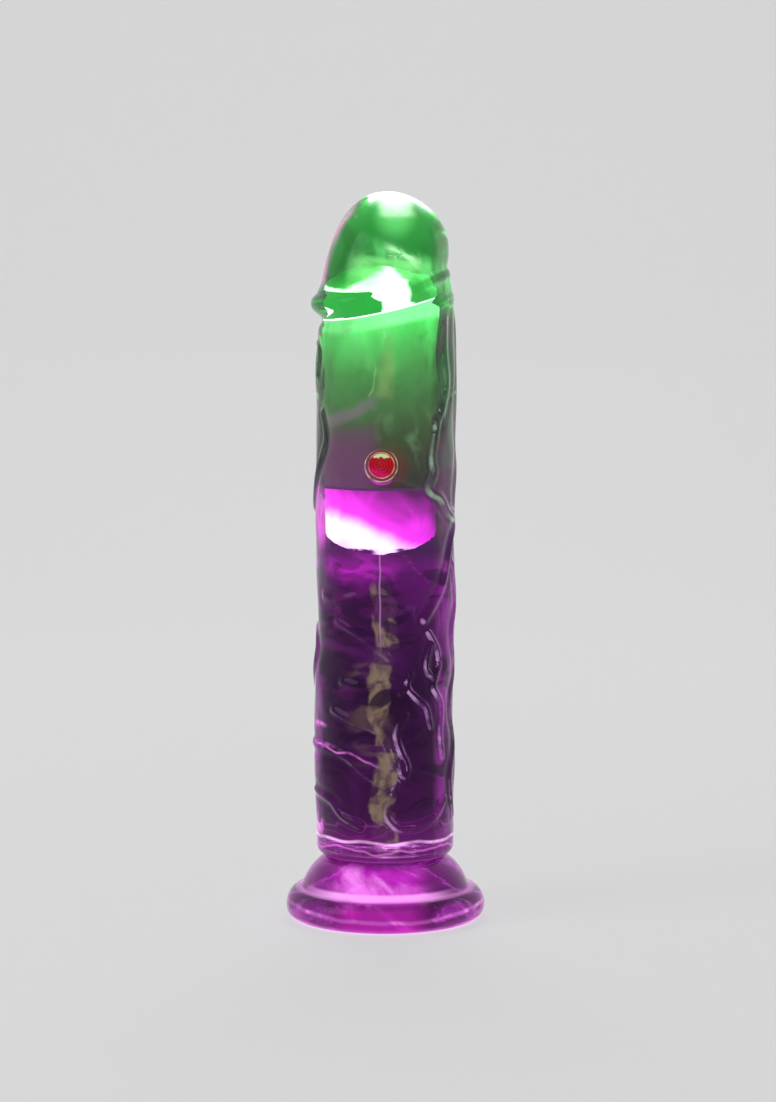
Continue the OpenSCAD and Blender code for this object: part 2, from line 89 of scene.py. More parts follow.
makeCamera()
print("camera set")


class Value:
    # wraps a socket, so that shader maths reads as plain sums
    def __init__(self, paint, socket):
        self.paint = paint
        self.socket = socket

    def math(self, operation, *others):
        return self.paint.node("ShaderNodeMath", {"operation": operation}, [self, *others])

    def __add__(self, other):
        return self.math("ADD", other)

    def __sub__(self, other):
        return self.math("SUBTRACT", other)

    def __rsub__(self, other):
        return self.paint.node("ShaderNodeMath", {"operation": "SUBTRACT"}, [other, self])

    def __mul__(self, other):
        return self.math("MULTIPLY", other)

    __radd__ = __add__
    __rmul__ = __mul__


class Paint:
    # one material: its node tree, its Principled shader and short ways to add nodes
    def __init__(self, name, rise=0.0, **settings):
        # heights in the paint count from rise
        self.material = bpy.data.materials.new(name)
        self.material.use_nodes = True
        self.tree = self.material.node_tree
        self.shader = self.tree.nodes["Principled BSDF"]
        for socket, value in settings.items():
            self.put(socket, value)
        self.place = self.node("ShaderNodeTexCoord", {}, {}, "Object")
        if rise:
            self.place = self.vector("SUBTRACT", self.place, (0, 0, rise))
        self.glow = (0, 0, 0)

    def put(self, socket, value):
        socket = socket.replace("_", " ")
        if isinstance(value, Value):
            self.tree.links.new(value.socket, self.shader.inputs[socket])
        elif isinstance(value, tuple):
            self.shader.inputs[socket].default_value = (*value, 1)
        else:
            self.shader.inputs[socket].default_value = value

    def node(self, kind, settings, inputs, output=0):
        made = self.tree.nodes.new(kind)
        for key, value in settings.items():
            if key == "stops":
                self.fillRamp(made.color_ramp, value)
            else:
                setattr(made, key, value)
        pairs = enumerate(inputs) if isinstance(inputs, list) else inputs.items()
        for key, value in pairs:
            socket = made.inputs[key]
            if isinstance(value, Value):
                self.tree.links.new(value.socket, socket)
            elif isinstance(value, tuple) and socket.type == "RGBA":
                socket.default_value = (*value, 1)
            else:
                socket.default_value = value
        return Value(self, made.outputs[output])

    def fillRamp(self, ramp, stops):
        while len(ramp.elements) > 1:
            ramp.elements.remove(ramp.elements[-1])
        ramp.elements[0].position = stops[0][0]
        ramp.elements[0].color = (*stops[0][1], 1)
        for position, colour in stops[1:]:
            ramp.elements.new(position).color = (*colour, 1)

    def vector(self, operation, first, second):
        return self.node("ShaderNodeVectorMath", {"operation": operation}, [first, second])

    def length(self, vector):
        return self.node("ShaderNodeVectorMath", {"operation": "LENGTH"}, [vector], "Value")

    def axes(self, vector=None):
        # x, y and z of a vector, or of the place on the piece
        split = self.node("ShaderNodeSeparateXYZ", {}, [vector or self.place])
        return [Value(self, socket) for socket in split.socket.node.outputs]

    def between(self, value, low, high, start=0.0, end=1.0):
        # start below low, end above high
        return self.node("ShaderNodeMapRange", {"interpolation_type": "SMOOTHSTEP"},
                         {"Value": value, "From Min": low, "From Max": high,
                          "To Min": start, "To Max": end})

    def band(self, value, middle, halfWidth, soft):
        # 1 within halfWidth of middle, falling to 0 over soft
        away = (value - middle).math("ABSOLUTE")
        return self.between(away, halfWidth, halfWidth + soft, 1.0, 0.0)

    def spot(self, middle, radii):
        # 1 at a place, falling to 0 at an ellipsoid round it
        moved = self.vector("SUBTRACT", self.place, middle)
        return self.between(self.length(self.vector("DIVIDE", moved, radii)), 0.25, 1.0, 1.0, 0.0)

    def noise(self, size, detail=2.0, stretch=(1, 1, 1), warp=0.0, seed=0.0, turn=0.0):
        # soft noise from 0 to 1, its lumps size metres across, turned by degrees in the XZ plane
        turned = self.node("ShaderNodeVectorRotate", {"rotation_type": "Y_AXIS"},
                           {"Vector": self.place, "Angle": math.radians(turn)})
        scaled = self.vector("MULTIPLY", turned, stretch)
        moved = self.vector("ADD", scaled, (seed, seed * 0.7, 0))
        return self.node("ShaderNodeTexNoise", {}, {"Vector": moved, "Scale": 1 / size,
                                                    "Detail": detail, "Distortion": warp}, "Fac")

    def mix(self, share, first, second):
        return self.node("ShaderNodeMix", {"data_type": "RGBA"},
                         {0: share, 6: first, 7: second}, 2)

    def lay(self, share, colour):
        # one more layer over the glow, where share is over 0
        self.glow = self.mix(share, self.glow, colour)

    def ramp(self, z, top, stops):
        # a ramp over heights up to top: stops are (height in mm, colour)
        stops = [(height * mm / top, colour) for height, colour in stops]
        return self.node("ShaderNodeValToRGB", {"stops": stops}, {"Fac": z * (1 / top)}, "Color")

    def bump(self, height, depth, strength):
        self.put("Normal", self.node("ShaderNodeBump", {}, {"Height": height, "Distance": depth,
                                                            "Strength": strength}, "Normal"))


def onlyThis(piece):
    bpy.ops.object.select_all(action="DESELECT")
    piece.select_set(True)
    bpy.context.view_layer.objects.active = piece


def pointsOf(piece):
    spots = np.empty(len(piece.data.vertices) * 3)
    piece.data.vertices.foreach_get("co", spots)
    return spots.reshape(-1, 3)


def setPoints(piece, spots):
    piece.data.vertices.foreach_set("co", spots.ravel())
    piece.data.update()


def applyAll(piece):
    onlyThis(piece)
    for modifier in list(piece.modifiers):
        bpy.ops.object.modifier_apply(modifier=modifier.name)


def combine(piece, other, operation):
    # joins other to the piece or cuts it out of it, and drops other
    step = piece.modifiers.new("combine", "BOOLEAN")
    step.operation = operation
    step.object = other
    step.solver = "EXACT"
    applyAll(piece)
    bpy.data.objects.remove(other)


def smoothed(piece, angle):
    onlyThis(piece)
    bpy.ops.object.shade_smooth_by_angle(angle=math.radians(angle))


def coverWith(piece, paint):
    piece.data.materials.clear()
    piece.data.materials.append(paint.material)


def smoothStep(share):
    held = np.clip(share, 0, 1)
    return held * held * (3 - 2 * held)


def turnFromFront(spots):
    # degrees round the axis from the front, towards +X, from -180 to 180
    turn = np.degrees(np.arctan2(spots[:, 1], spots[:, 0])) + 90
    return (turn + 180) % 360 - 180


body = {
    "around": 224,            # faces round the shaft
    "along": 400,             # faces from the bonded face to the tip
    "bondHeight": 20.6,       # mm, as all sizes here
    "bondRings": 12,
    "neckRadius": 18.8,
    "filletRings": 13,
    "shaftRadius": 22,
    "shaftRings": 40,
    "brimHeight": 200.8,      # height of the brim's crest
    "brimRun": 24,            # the skin begins to slope this far below the crest
    "brimStep": 0.35,
    "brimOut": 2.7,
    "brimGroove": 0.9,
    "brimTilt": 12.5,
    "brimDip": 2.5,
    "tipStart": 3.2,          # the tip's dome begins this far above the crest
    "tipRings": 60,
    "tipLength": 31.2,
    "tipRadius": 19.9,
    "tipLean": 2.2,
    "crestLean": -1.4,        # to the left
    "domePower": 2.75,
    "holdIn": 0.05,           # how far the cast body bites into what is cast in it
    "lowDome": 6.5,           # height of the capsule's round ends
    "topDome": 10,
    "wellRadius": 5.3,
    "wellFrom": 10,           # the holes start this far from the capsule's axis
    "chargeRadius": 3,
    "chargeFrom": 12,
    "holeOverrun": 3,         # the cutters reach this far past the skin
    "wellChamfer": 0.7,
    "reliefFrom": (26, 6),    # the relief fades in over this height, and out again
    "reliefTo": (194, 7),
    "skinReach": 18,          # points nearer to the axis belong to the hollow
    "foldSteps": 4,           # steps between two points of a fold
    "moat": 0.35,             # share of a fold's height that its flanks sink
}

# raised folds on the shaft: half width, height, then (degrees from the front, height) along it
folds = [
    (1.3, 0.75, [(49, 160), (43, 149), (45, 144), (40, 139), (53, 136), (64, 131), (84, 128),
                 (72, 123), (62, 115), (57, 109), (49, 104), (35, 98)]),
    (0.9, 0.6, [(39, 94), (49, 88), (50, 83), (44, 80), (37, 82), (39, 87), (42, 90)]),
    (1.0, 0.6, [(52, 83), (44, 77), (48, 74), (54, 70), (52, 62), (55, 54)]),
    (0.9, 0.55, [(22, 81), (19, 77), (28, 73), (36, 70), (40, 64)]),
    (0.8, 0.5, [(19, 77), (13, 75)]),
    (1.0, 0.65, [(17, 68), (12, 65), (10, 61), (14, 56), (18, 53), (19, 50), (15, 49), (13, 53)]),
    (1.0, 0.6, [(10, 47), (6, 42), (2, 37), (6, 34), (14, 32), (30, 32.5), (47, 35), (58, 40)]),
    (1.1, 0.45, [(-6, 116), (-5, 106), (-2, 96), (1, 90)]),
    (1.3, 0.4, [(-60, 105), (-38, 104), (-16, 106)]),
    (1.1, 0.45, [(-42, 97), (-20, 93), (-2, 88), (4, 86)]),
    (1.2, 0.45, [(-38, 78), (-14, 77), (-4, 81)]),
    (1.1, 0.5, [(-48, 69), (-28, 66), (-6, 63), (2, 57), (7, 52)]),
    (1.2, 0.5, [(-92, 57), (-53, 56), (-35, 54.5), (-18, 50), (0, 46)]),
    (1.1, 0.55, [(-80, 42), (-53, 40), (-43, 37), (-35, 35), (-21, 33)]),
    (1.2, 0.7, [(-66, 162), (-60, 155), (-68, 148), (-80, 140), (-92, 132)]),
    (1.0, 0.5, [(-78, 188), (-70, 183), (-74, 174)]),
    (1.4, 0.5, [(-94, 94), (-80, 88), (-92, 78), (-106, 72)]),
    (1.5, 0.55, [(64, 194), (56, 182), (62, 170), (54, 162), (49, 160)]),
    (1.6, 0.6, [(96, 192), (90, 172), (98, 154), (88, 142), (84, 128)]),
    (1.3, 0.5, [(76, 114), (84, 102), (74, 92), (82, 80), (72, 70), (78, 58), (68, 46), (76, 34)]),
    (1.3, 0.6, [(142, 188), (152, 170), (132, 152), (148, 134), (162, 114), (142, 98)]),
    (1.2, 0.55, [(142, 98), (126, 82), (144, 64), (128, 46), (138, 32)]),
    (1.2, 0.55, [(-158, 180), (-144, 162), (-160, 142), (-140, 124), (-154, 106), (-136, 86)]),
    (1.1, 0.5, [(-136, 86), (-152, 68), (-128, 54), (-144, 36)]),
    (1.1, 0.45, [(-180, 122), (168, 106), (-176, 90), (170, 72), (-178, 56)]),
    (1.0, 0.45, [(-118, 178), (-108, 162), (-124, 146)]),
    (1.0, 0.45, [(104, 122), (116, 108), (104, 94)]),
]


def eased(at, xs, ys):
    # smooth curve through points, with no overshoot
    i = int(np.clip(np.searchsorted(xs, at) - 1, 0, len(xs) - 2))
    slopes = np.gradient(ys, xs)
    h = xs[i + 1] - xs[i]
    t = (at - xs[i]) / h
    return ((2 * t ** 3 - 3 * t ** 2 + 1) * ys[i] + (t ** 3 - 2 * t ** 2 + t) * h * slopes[i]
            + (3 * t ** 2 - 2 * t ** 3) * ys[i + 1] + (t ** 3 - t ** 2) * h * slopes[i + 1])


def shaftSections():
    # rows of height, radius, lean, slope and dip from the middle of the bonded face upwards
    b = body
    fillet = b["shaftRadius"] - b["neckRadius"]
    shaftStart = b["bondHeight"] + fillet
    rows = [(b["bondHeight"], b["neckRadius"] * i / b["bondRings"], 0, 0, 0)
            for i in range(b["bondRings"])]
    for angle in np.radians(np.linspace(-90, 0, b["filletRings"])):
        rows.append((shaftStart + fillet * math.sin(angle),
                     b["neckRadius"] + fillet * math.cos(angle), 0, 0, 0))
    shaftEnd = b["brimHeight"] - b["brimRun"]
    for height in np.linspace(shaftStart, shaftEnd, b["shaftRings"])[1:]:
        rows.append((height, b["shaftRadius"], 0, 0, 0))
    return rows


def brimSections():
    b = body
    top = b["brimHeight"]
    step = b["tipRadius"] - b["shaftRadius"]
    run, out, groove, lean = b["brimRun"], b["brimOut"], b["brimGroove"], b["crestLean"]
    # height past the crest, radius past the shaft's, lean
    brim = np.array([
        (-run, 0, 0), (-20, 0, 0), (-16, 0, 0), (-12.5, 0, 0), (-9, 0, 0.2), (-6.4, -0.1, 0.5),
        (-5.1, -groove * 0.8, 0.7), (-4.2, -groove, 0.6), (-3, -groove * 0.3, -0.1),
        (-1.6, step + out * 0.9, lean * 0.8), (0, step + out, lean),
        (1.7, step + out * 0.85, lean * 0.9), (b["tipStart"], step + out * 0.45, lean * 0.5)])
    rows = []
    for past in np.arange(0.5 - run, b["tipStart"], b["brimStep"]):
        height = past + top
        # the slope grows up to the crest and eases a little past it
        grown = smoothStep((height - (top - run)) / 18)
        slope = b["brimTilt"] * grown * (1 - 0.18 * smoothStep((past + 5) / 6))
        dip = b["brimDip"] * smoothStep((run + past) / 16)
        rows.append((height, b["shaftRadius"] + eased(past, brim[:, 0], brim[:, 1]),
                     eased(past, brim[:, 0], brim[:, 2]), slope, dip))
    return rows


def tipSections():
    b = body
    rows = []
    first = math.asin(b["tipStart"] / b["tipLength"]) / (math.pi / 2)
    for share in np.linspace(first, 1, b["tipRings"])[1:]:
        u = math.sin(math.pi / 2 * share)
        dome = b["tipRadius"] * math.sqrt(max(0, 1 - u ** b["domePower"])) * (1 + 0.02 * (1 - u))
        # what is left of the brim's width fades out over the dome's foot
        left = b["brimOut"] * 0.3 * (1 - smoothStep((u - first) / 0.12))
        lean = b["crestLean"] + (b["tipLean"] - b["crestLean"]) * (1 - (1 - u) ** 2)
        rows.append((b["brimHeight"] + b["tipLength"] * u, dome + left, lean,
                     b["brimTilt"] * (0.82 - 1.25 * u),
                     b["brimDip"] * (1 - smoothStep(u / 0.6))))
    return rows


def curved(path):
    # the fold's points joined by a smooth curve, as short steps
    turns = np.degrees(np.unwrap(np.radians([turn for turn, up in path])))
    ups = np.array([up for turn, up in path], dtype=float)
    at = np.arange(len(path))
    steps = np.linspace(0, len(path) - 1, (len(path) - 1) * body["foldSteps"] + 1)
    return [(eased(step, at, turns), eased(step, at, ups)) for step in steps]


def foldHeight(turn, height):
    # height of the relief at degrees round from the front and mm up
    radius = body["shaftRadius"]
    relief = np.zeros_like(turn)
    for halfWidth, rise, path in folds:
        reach = np.full_like(turn, 1e9)
        points = curved(path)
        for (turnA, upA), (turnB, upB) in zip(points, points[1:]):
            dy = upB - upA
            near = np.abs(height - upA - dy / 2) < abs(dy) / 2 + 5 * halfWidth
            gap = (turn[near] - turnA + 180) % 360 - 180
            x = np.radians(gap) * radius
            y = height[near] - upA
            dx = math.radians(turnB - turnA) * radius
            t = np.clip((x * dx + y * dy) / (dx * dx + dy * dy), 0, 1)
            reach[near] = np.minimum(reach[near], np.hypot(x - t * dx, y - t * dy))
        bulge = rise * np.exp(-(reach / halfWidth) ** 2)
        # the flanks dip at about two half widths from the fold's line
        flank = np.exp(-((reach - 2.1 * halfWidth) / halfWidth) ** 2)
        shape = bulge - body["moat"] * rise * flank
        relief = np.where(np.abs(shape) > np.abs(relief), shape, relief)
    return relief


def swell(turn, height):
    # broad unevenness of the soft shaft, and a fuller place on its left side
    t = np.radians(turn)
    waves = [(0.22, 3 * t + height / 11), (0.18, 5 * t - height / 7.3 + 1.3),
             (0.14, 2 * t + height / 4.9 + 0.7), (0.1, 7 * t + height / 3.7 + 2.1)]
    full = 0.9 * np.exp(-((turn + 92) / 28) ** 2 - ((height - 54) / 20) ** 2)
    return sum(size * np.sin(phase) for size, phase in waves) + full


def makeSoftBody():
    bpy.ops.object.select_all(action="DESELECT")
    bpy.ops.mesh.primitive_uv_sphere_add(segments=body["around"], ring_count=body["along"],
                                         radius=1)
    piece = bpy.context.object
    piece.name = "softBody"
    spots = pointsOf(piece)
    rows = np.array(shaftSections() + brimSections() + tipSections())
    steps = np.hypot(np.diff(rows[:, 0]), np.diff(rows[:, 1]))
    walked = np.concatenate([[0], np.cumsum(steps)])
    share = np.arccos(np.clip(-spots[:, 2], -1, 1)) / math.pi * walked[-1]
    height, radius, lean, slope, dip = (np.interp(share, walked, rows[:, i]) for i in range(5))
    around = np.arctan2(spots[:, 1], spots[:, 0])
    turn = turnFromFront(spots)
    start, over = body["reliefFrom"]
    end, out = body["reliefTo"]
    onShaft = smoothStep((height - start) / over) * smoothStep((end - height) / out)
    radius = radius + (foldHeight(turn, height) + swell(turn, height)) * onShaft
    slope = np.radians(slope)
    spots[:, 0] = lean + radius * np.cos(around) * np.cos(slope)
    spots[:, 1] = radius * np.sin(around)
    spots[:, 2] = height + radius * np.cos(around) * np.sin(slope) - dip * np.sin(around) ** 2
    setPoints(piece, spots * mm)
    onlyThis(piece)
    bpy.ops.object.mode_set(mode="EDIT")
    bpy.ops.mesh.select_all(action="SELECT")
    bpy.ops.mesh.normals_make_consistent(inside=False)
    bpy.ops.object.mode_set(mode="OBJECT")
    return piece


def markFolds(piece):
    # how far each point faces left or down on a fold's flank, kept for the painted highlights on
    # the folds
    spots = pointsOf(piece) / mm
    turn = turnFromFront(spots)
    height = spots[:, 2]
    acrossStep, alongStep = 1, 0.4      # degrees, mm
    across = foldHeight(turn + acrossStep, height) - foldHeight(turn - acrossStep, height)
    across = across / (math.radians(2 * acrossStep) * body["shaftRadius"])
    along = foldHeight(turn, height + alongStep) - foldHeight(turn, height - alongStep)
    onSkin = np.hypot(spots[:, 0], spots[:, 1]) > body["skinReach"]
    onSkin = onSkin & (height > 25) & (height < body["reliefTo"][0])
    catch = np.where(onSkin, 0.8 * across + 0.75 * along, 0)
    mark = piece.data.attributes.new("catch", "FLOAT", "POINT")
    mark.data.foreach_set("value", catch.astype(np.float32))


def addHole(hollow, axis, height, radius, side, start):
    # a round hole from the capsule out through the skin, with a flared mouth
    over = body["holeOverrun"]
    skin = body["shaftRadius"]
    flare = body["wellChamfer"]
    length = (skin + over - start) * mm
    bpy.ops.object.select_all(action="DESELECT")
    bpy.ops.mesh.primitive_cylinder_add(
        vertices=72, radius=radius * mm, depth=length,
        location=(axis, side * (start * mm + length / 2), height),
        rotation=(-side * math.pi / 2, 0, 0))
    cutter = bpy.context.object
    bpy.ops.object.transform_apply(location=True, rotation=True, scale=True)
    bpy.ops.object.mode_set(mode="EDIT")
    bpy.ops.mesh.select_all(action="DESELECT")
    bpy.ops.object.mode_set(mode="OBJECT")
    for face in cutter.data.polygons:
        face.select = side * face.center.y > (skin + over - 1) * mm and len(face.vertices) > 4
    bpy.ops.object.mode_set(mode="EDIT")
    bpy.ops.transform.translate(value=(0, -side * (over + flare) * mm, 0))
    bpy.ops.mesh.extrude_region_move(
        TRANSFORM_OT_translate={"value": (0, side * flare * 1.6 * mm, 0)})
    grow = (radius + flare) / radius
    bpy.ops.transform.resize(value=(grow, 1, grow))
    bpy.ops.mesh.extrude_region_move(TRANSFORM_OT_translate={"value": (0, side * over * mm, 0)})
    bpy.ops.object.mode_set(mode="OBJECT")
    combine(hollow, cutter, "UNION")


def heightOf(name):
    low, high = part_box(name)
    return (low.z + high.z) / 2


def makeCastHollow():
    # room for all that is cast in: capsule, button well and charging hole, as one cutter
    low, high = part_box("capsule_lower_shell")
    axis = ((low + high) / 2).x
    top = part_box("top_lens")[1].z
    holdIn = body["holdIn"] * mm
    lowDome = body["lowDome"] * mm
    topDome = body["topDome"] * mm
    bpy.ops.object.select_all(action="DESELECT")
    bpy.ops.mesh.primitive_uv_sphere_add(segments=96, ring_count=64, radius=1)
    hollow = bpy.context.object
    hollow.name = "castHollow"
    spots = pointsOf(hollow)
    below = spots[:, 2] < 0
    spots[:, :2] *= (high.x - low.x) / 2 - holdIn
    spots[:, 0] += axis
    spots[:, 2] = np.where(below, low.z + lowDome + spots[:, 2] * (lowDome - holdIn),
                           top - topDome + spots[:, 2] * (topDome - holdIn))
    setPoints(hollow, spots)
    addHole(hollow, axis, heightOf("button_bezel"), body["wellRadius"], -1, body["wellFrom"])
    addHole(hollow, axis, heightOf("charge_jack"), body["chargeRadius"], 1, body["chargeFrom"])
    return hollow


softBody = makeSoftBody()
combine(softBody, makeCastHollow(), "DIFFERENCE")
smoothed(softBody, 35)
markFolds(softBody)
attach(softBody, "housing")
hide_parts("soft_body")
print("soft body made:", len(softBody.data.polygons), "faces")


bodyRise = 2 * mm     # the paints of the body and the capsule count heights from here
bodyTop = 240 * mm    # where their ramps end
footTop = 22 * mm     # where the foot's end

# a soft moulding mirrors less than glass
gelShine = (0.3, 0.25, 0.3)

# painted light and shade in the clear gel's tint, by height: (height in mm, colour)
bodyTintAndShade = [
    (17, (0.06, 0.01, 0.07)), (24, (0.03, 0.005, 0.036)), (33, (0.014, 0.002, 0.02)),
    (70, (0.009, 0.002, 0.015)), (96, (0.016, 0.003, 0.024)), (108, (0.025, 0.003, 0.035)),
    (117, (0.05, 0.018, 0.065)), (124, (0.1, 0.075, 0.11)), (150, (0.08, 0.09, 0.08)),
    (182, (0.07, 0.16, 0.08)), (191, (0.035, 0.22, 0.055)), (205, (0.018, 0.19, 0.032)),
    (220, (0.04, 0.33, 0.07)), (229, (0.08, 0.45, 0.12))]

bodyGlow = [
    (19, (0.07, 0.003, 0.07)), (24, (0.08, 0.003, 0.08)), (33, (0.024, 0.001, 0.026)),
    (70, (0.008, 0.0, 0.011)), (96, (0.03, 0.001, 0.034)), (104, (0.065, 0.002, 0.07)),
    (112, (0.09, 0.002, 0.1)), (117, (0.02, 0.001, 0.03)), (150, (0.0, 0.0, 0.0)),
    (184, (0.002, 0.012, 0.003)), (196, (0.004, 0.05, 0.008)), (212, (0.004, 0.06, 0.006)),
    (222, (0.008, 0.11, 0.012)), (230, (0.03, 0.25, 0.05))]

# bright spots where the light leaves the left edge: middle and radii
edgeSpots = [((-20.5 * mm, -6 * mm, 61.5 * mm), (4 * mm, 9 * mm, 1.4 * mm)),
             ((-19 * mm, -10 * mm, 55.3 * mm), (7 * mm, 9 * mm, 1.4 * mm)),
             ((-20.5 * mm, -5 * mm, 29 * mm), (2.5 * mm, 9 * mm, 5 * mm))]


def tintAndShadeGel(gel, x, z):
    # painted light and shade in the clear gel's tint: green at the tip where it is lit, smoky over
    # the capsule, dark violet below it where there is only shade
    drift = (gel.noise(0.02, 2, (1, 1, 0.6), 0.5, 3.1) - 0.5) * (14 * mm)
    tint = gel.ramp(z + drift, bodyTop, bodyTintAndShade)
    dusk = gel.between(gel.noise(0.017, 2, (1, 1, 1), 0.8, 6.3), 0.42, 0.68)
    dusk = dusk * gel.between(z, 196 * mm, 204 * mm)
    tint = gel.mix(dusk * 0.85, tint, (0.004, 0.045, 0.008))
    # painted shade: the dark strip beside the capsule on the right
    shadeStrip = gel.between(x, 13.5 * mm, 16.5 * mm) * gel.between(z, 196 * mm, 188 * mm)
    shadeVeins = gel.between(gel.noise(0.008, 3, (1, 1, 0.3), 0.9, 1.2), 0.3, 0.66)
    return gel.mix(shadeStrip * (0.55 + 0.45 * shadeVeins), tint, (0.006, 0.01, 0.007))


def layCrownLight(gel, x, y, z, streaks):
    # a painted highlight, white on the top of the tip, and the painted light under it
    under = gel.spot((3.0 * mm, -14 * mm, 221 * mm), (8 * mm, 10 * mm, 9 * mm))
    gel.lay(under * 0.6, (0.12, 0.62, 0.14))
    cap = gel.band(x - 3.6 * mm, 0.0, 3 * mm, 4 * mm)
    cap = cap * gel.band(z, 224.6 * mm, 1.8 * mm, 2.2 * mm) * gel.between(y, 0.0, -5 * mm)
    gel.lay(cap * gel.between(streaks, 0.25, 0.6, 0.3, 0.75), (0.5, 0.98, 0.5))
    crownHighlight = gel.spot((3.0 * mm, -8 * mm, 227 * mm), (6.8 * mm, 13 * mm, 10 * mm))
    gel.lay(crownHighlight * gel.between(streaks, 0.2, 0.6, 0.55, 1.1), (0.85, 1.0, 0.88))


def laySides(gel, x, y, z, ahead, lit, patches):
    # broken light along the left and right edges, up to the tip
    right = gel.between(x, 14.5 * mm, 18 * mm) * ahead * patches
    left = gel.between(x, -19 * mm, -21.5 * mm) * (0.1 + 0.9 * patches)
    gel.lay(right * lit * 0.8, (0.25, 0.015, 0.27))
    gel.lay(left * lit * 0.6, (0.3, 0.02, 0.32))
    mixed = gel.between(gel.noise(0.011, 2, (1, 1, 0.6), 0.6, 7.4), 0.42, 0.6)
    bits = gel.mix(mixed, (0.04, 0.15, 0.05), (0.17, 0.06, 0.145))
    gel.lay(right * (1 - lit) * 0.45, bits)
    pink = gel.band(z, 213 * mm, 10 * mm, 6 * mm) * gel.between(y, -9.5 * mm, -6 * mm)
    pink = pink * gel.between(y, 0.5 * mm, -2.5 * mm) * gel.between(x, -6 * mm, -10 * mm)
    gel.lay(pink * (0.25 + 0.75 * patches) * 0.9, (0.5, 0.1, 0.38))
    far = gel.band(z, 211 * mm, 8 * mm, 5 * mm) * gel.between(x, 14.5 * mm, 18.5 * mm)
    gel.lay(far * (0.3 + 0.7 * patches) * 0.3, (0.24, 0.2, 0.2))


def layVeils(gel, x, z, ahead, streaks):
    # wisps of light at the foot of the tip, over the capsule's lens
    haze = gel.band(z + x * 0.35, 208.6 * mm, 1.5 * mm, 5.4 * mm)
    haze = haze * gel.between(x, -8 * mm, 2 * mm) * ahead
    gel.lay(haze * gel.between(streaks, 0.35, 0.65, 0.2, 0.9), (0.14, 0.68, 0.18))
    fray = gel.noise(0.0045, 4, (0.7, 0.8, 1.5), 1.2, 4.1, -24)
    tail = gel.band(z + x * 0.45, 211.4 * mm, 0.6 * mm, 2.4 * mm)
    tail = tail * gel.band(x, 5.6 * mm, 2.5 * mm, 4.5 * mm) * ahead
    gel.lay(tail * gel.between(fray, 0.38, 0.62), (0.5, 0.96, 0.5))
    wispy = gel.noise(0.013, 3, (0.55, 0.6, 1.7), 1.1, 6.1)
    level = z + x * 0.08 + (wispy - 0.5) * (12 * mm)
    veil = gel.band(level, 205.8 * mm, 1.4 * mm, 4 * mm) * ahead
    veil = veil * gel.between((x - 1 * mm).math("ABSOLUTE"), 6 * mm, 15 * mm, 1.0, 0.0)
    gel.lay(veil * gel.between(wispy, 0.36, 0.6, 0.15, 0.95), (0.22, 0.8, 0.22))
    # and a dark crescent of painted shade on the right
    shadeCrescent = gel.band(z - x * 0.5, 194.5 * mm, 0.7 * mm, 1.6 * mm)
    gel.lay(shadeCrescent * gel.between(x, 6 * mm, 10 * mm) * ahead * 0.8, (0.0, 0.015, 0.0))


def layFolds(gel, x, lit, grain):
    # light on the folds' left and lower flanks, and less on the others
    catch = gel.node("ShaderNodeAttribute", {"attribute_name": "catch"}, {}, "Fac")
    lower = gel.between(catch, 0.22, 0.5) * grain
    upper = gel.between(catch, -0.42, -0.66) * grain
    gel.lay(lower * lit * gel.between(x, -7 * mm, 2 * mm, 0.3, 0.85), (0.5, 0.26, 0.56))
    gel.lay(upper * lit * gel.between(x, -7 * mm, 2 * mm, 0.15, 0.55), (0.4, 0.2, 0.44))
    gel.lay(lower * (1 - lit) * 0.45, (0.4, 0.62, 0.42))


def layCloudLightAndShade(gel, x, z, ahead, lit, patches):
    # painted light and shade: soft clouds, dark and bright, at the capsule's lower end and below
    shade = gel.between(gel.noise(0.012, 3, (1, 1, 1.3), 1.0, 4.9), 0.42, 0.56)
    shade = shade * gel.between(x, 12 * mm, 2 * mm) * gel.band(z, 106 * mm, 9 * mm, 4 * mm)
    gel.lay(shade * 0.8, (0.012, 0.001, 0.018))
    glowCloud = gel.between(gel.noise(0.02, 3, (1, 1, 1.4), 0.8, 9.1), 0.45, 0.7)
    gel.lay(glowCloud * lit * 0.5, (0.06, 0.004, 0.08))
    spill = gel.spot((-8 * mm, -17 * mm, 114 * mm), (19 * mm, 14 * mm, 9 * mm))
    spillPatches = gel.between(gel.noise(0.008, 4, (0.7, 1, 1.7), 1.1, 2.9), 0.4, 0.56)
    gel.lay(spill * lit * (0.4 + 0.6 * spillPatches), (0.5, 0.016, 0.5))
    wisps = gel.band(z, 84 * mm, 16 * mm, 12 * mm) * gel.between(x, 6 * mm, -6 * mm) * ahead
    soft = gel.between(gel.noise(0.02, 3, (0.5, 1, 2.6), 0.5, 5.9), 0.45, 0.72)
    gel.lay(wisps * soft * 0.6, (0.11, 0.008, 0.11))
    flare = gel.spot((-20 * mm, -8 * mm, 127 * mm), (5 * mm, 14 * mm, 13 * mm))
    gel.lay(flare * (0.35 + 0.65 * patches), (0.75, 0.09, 0.7))


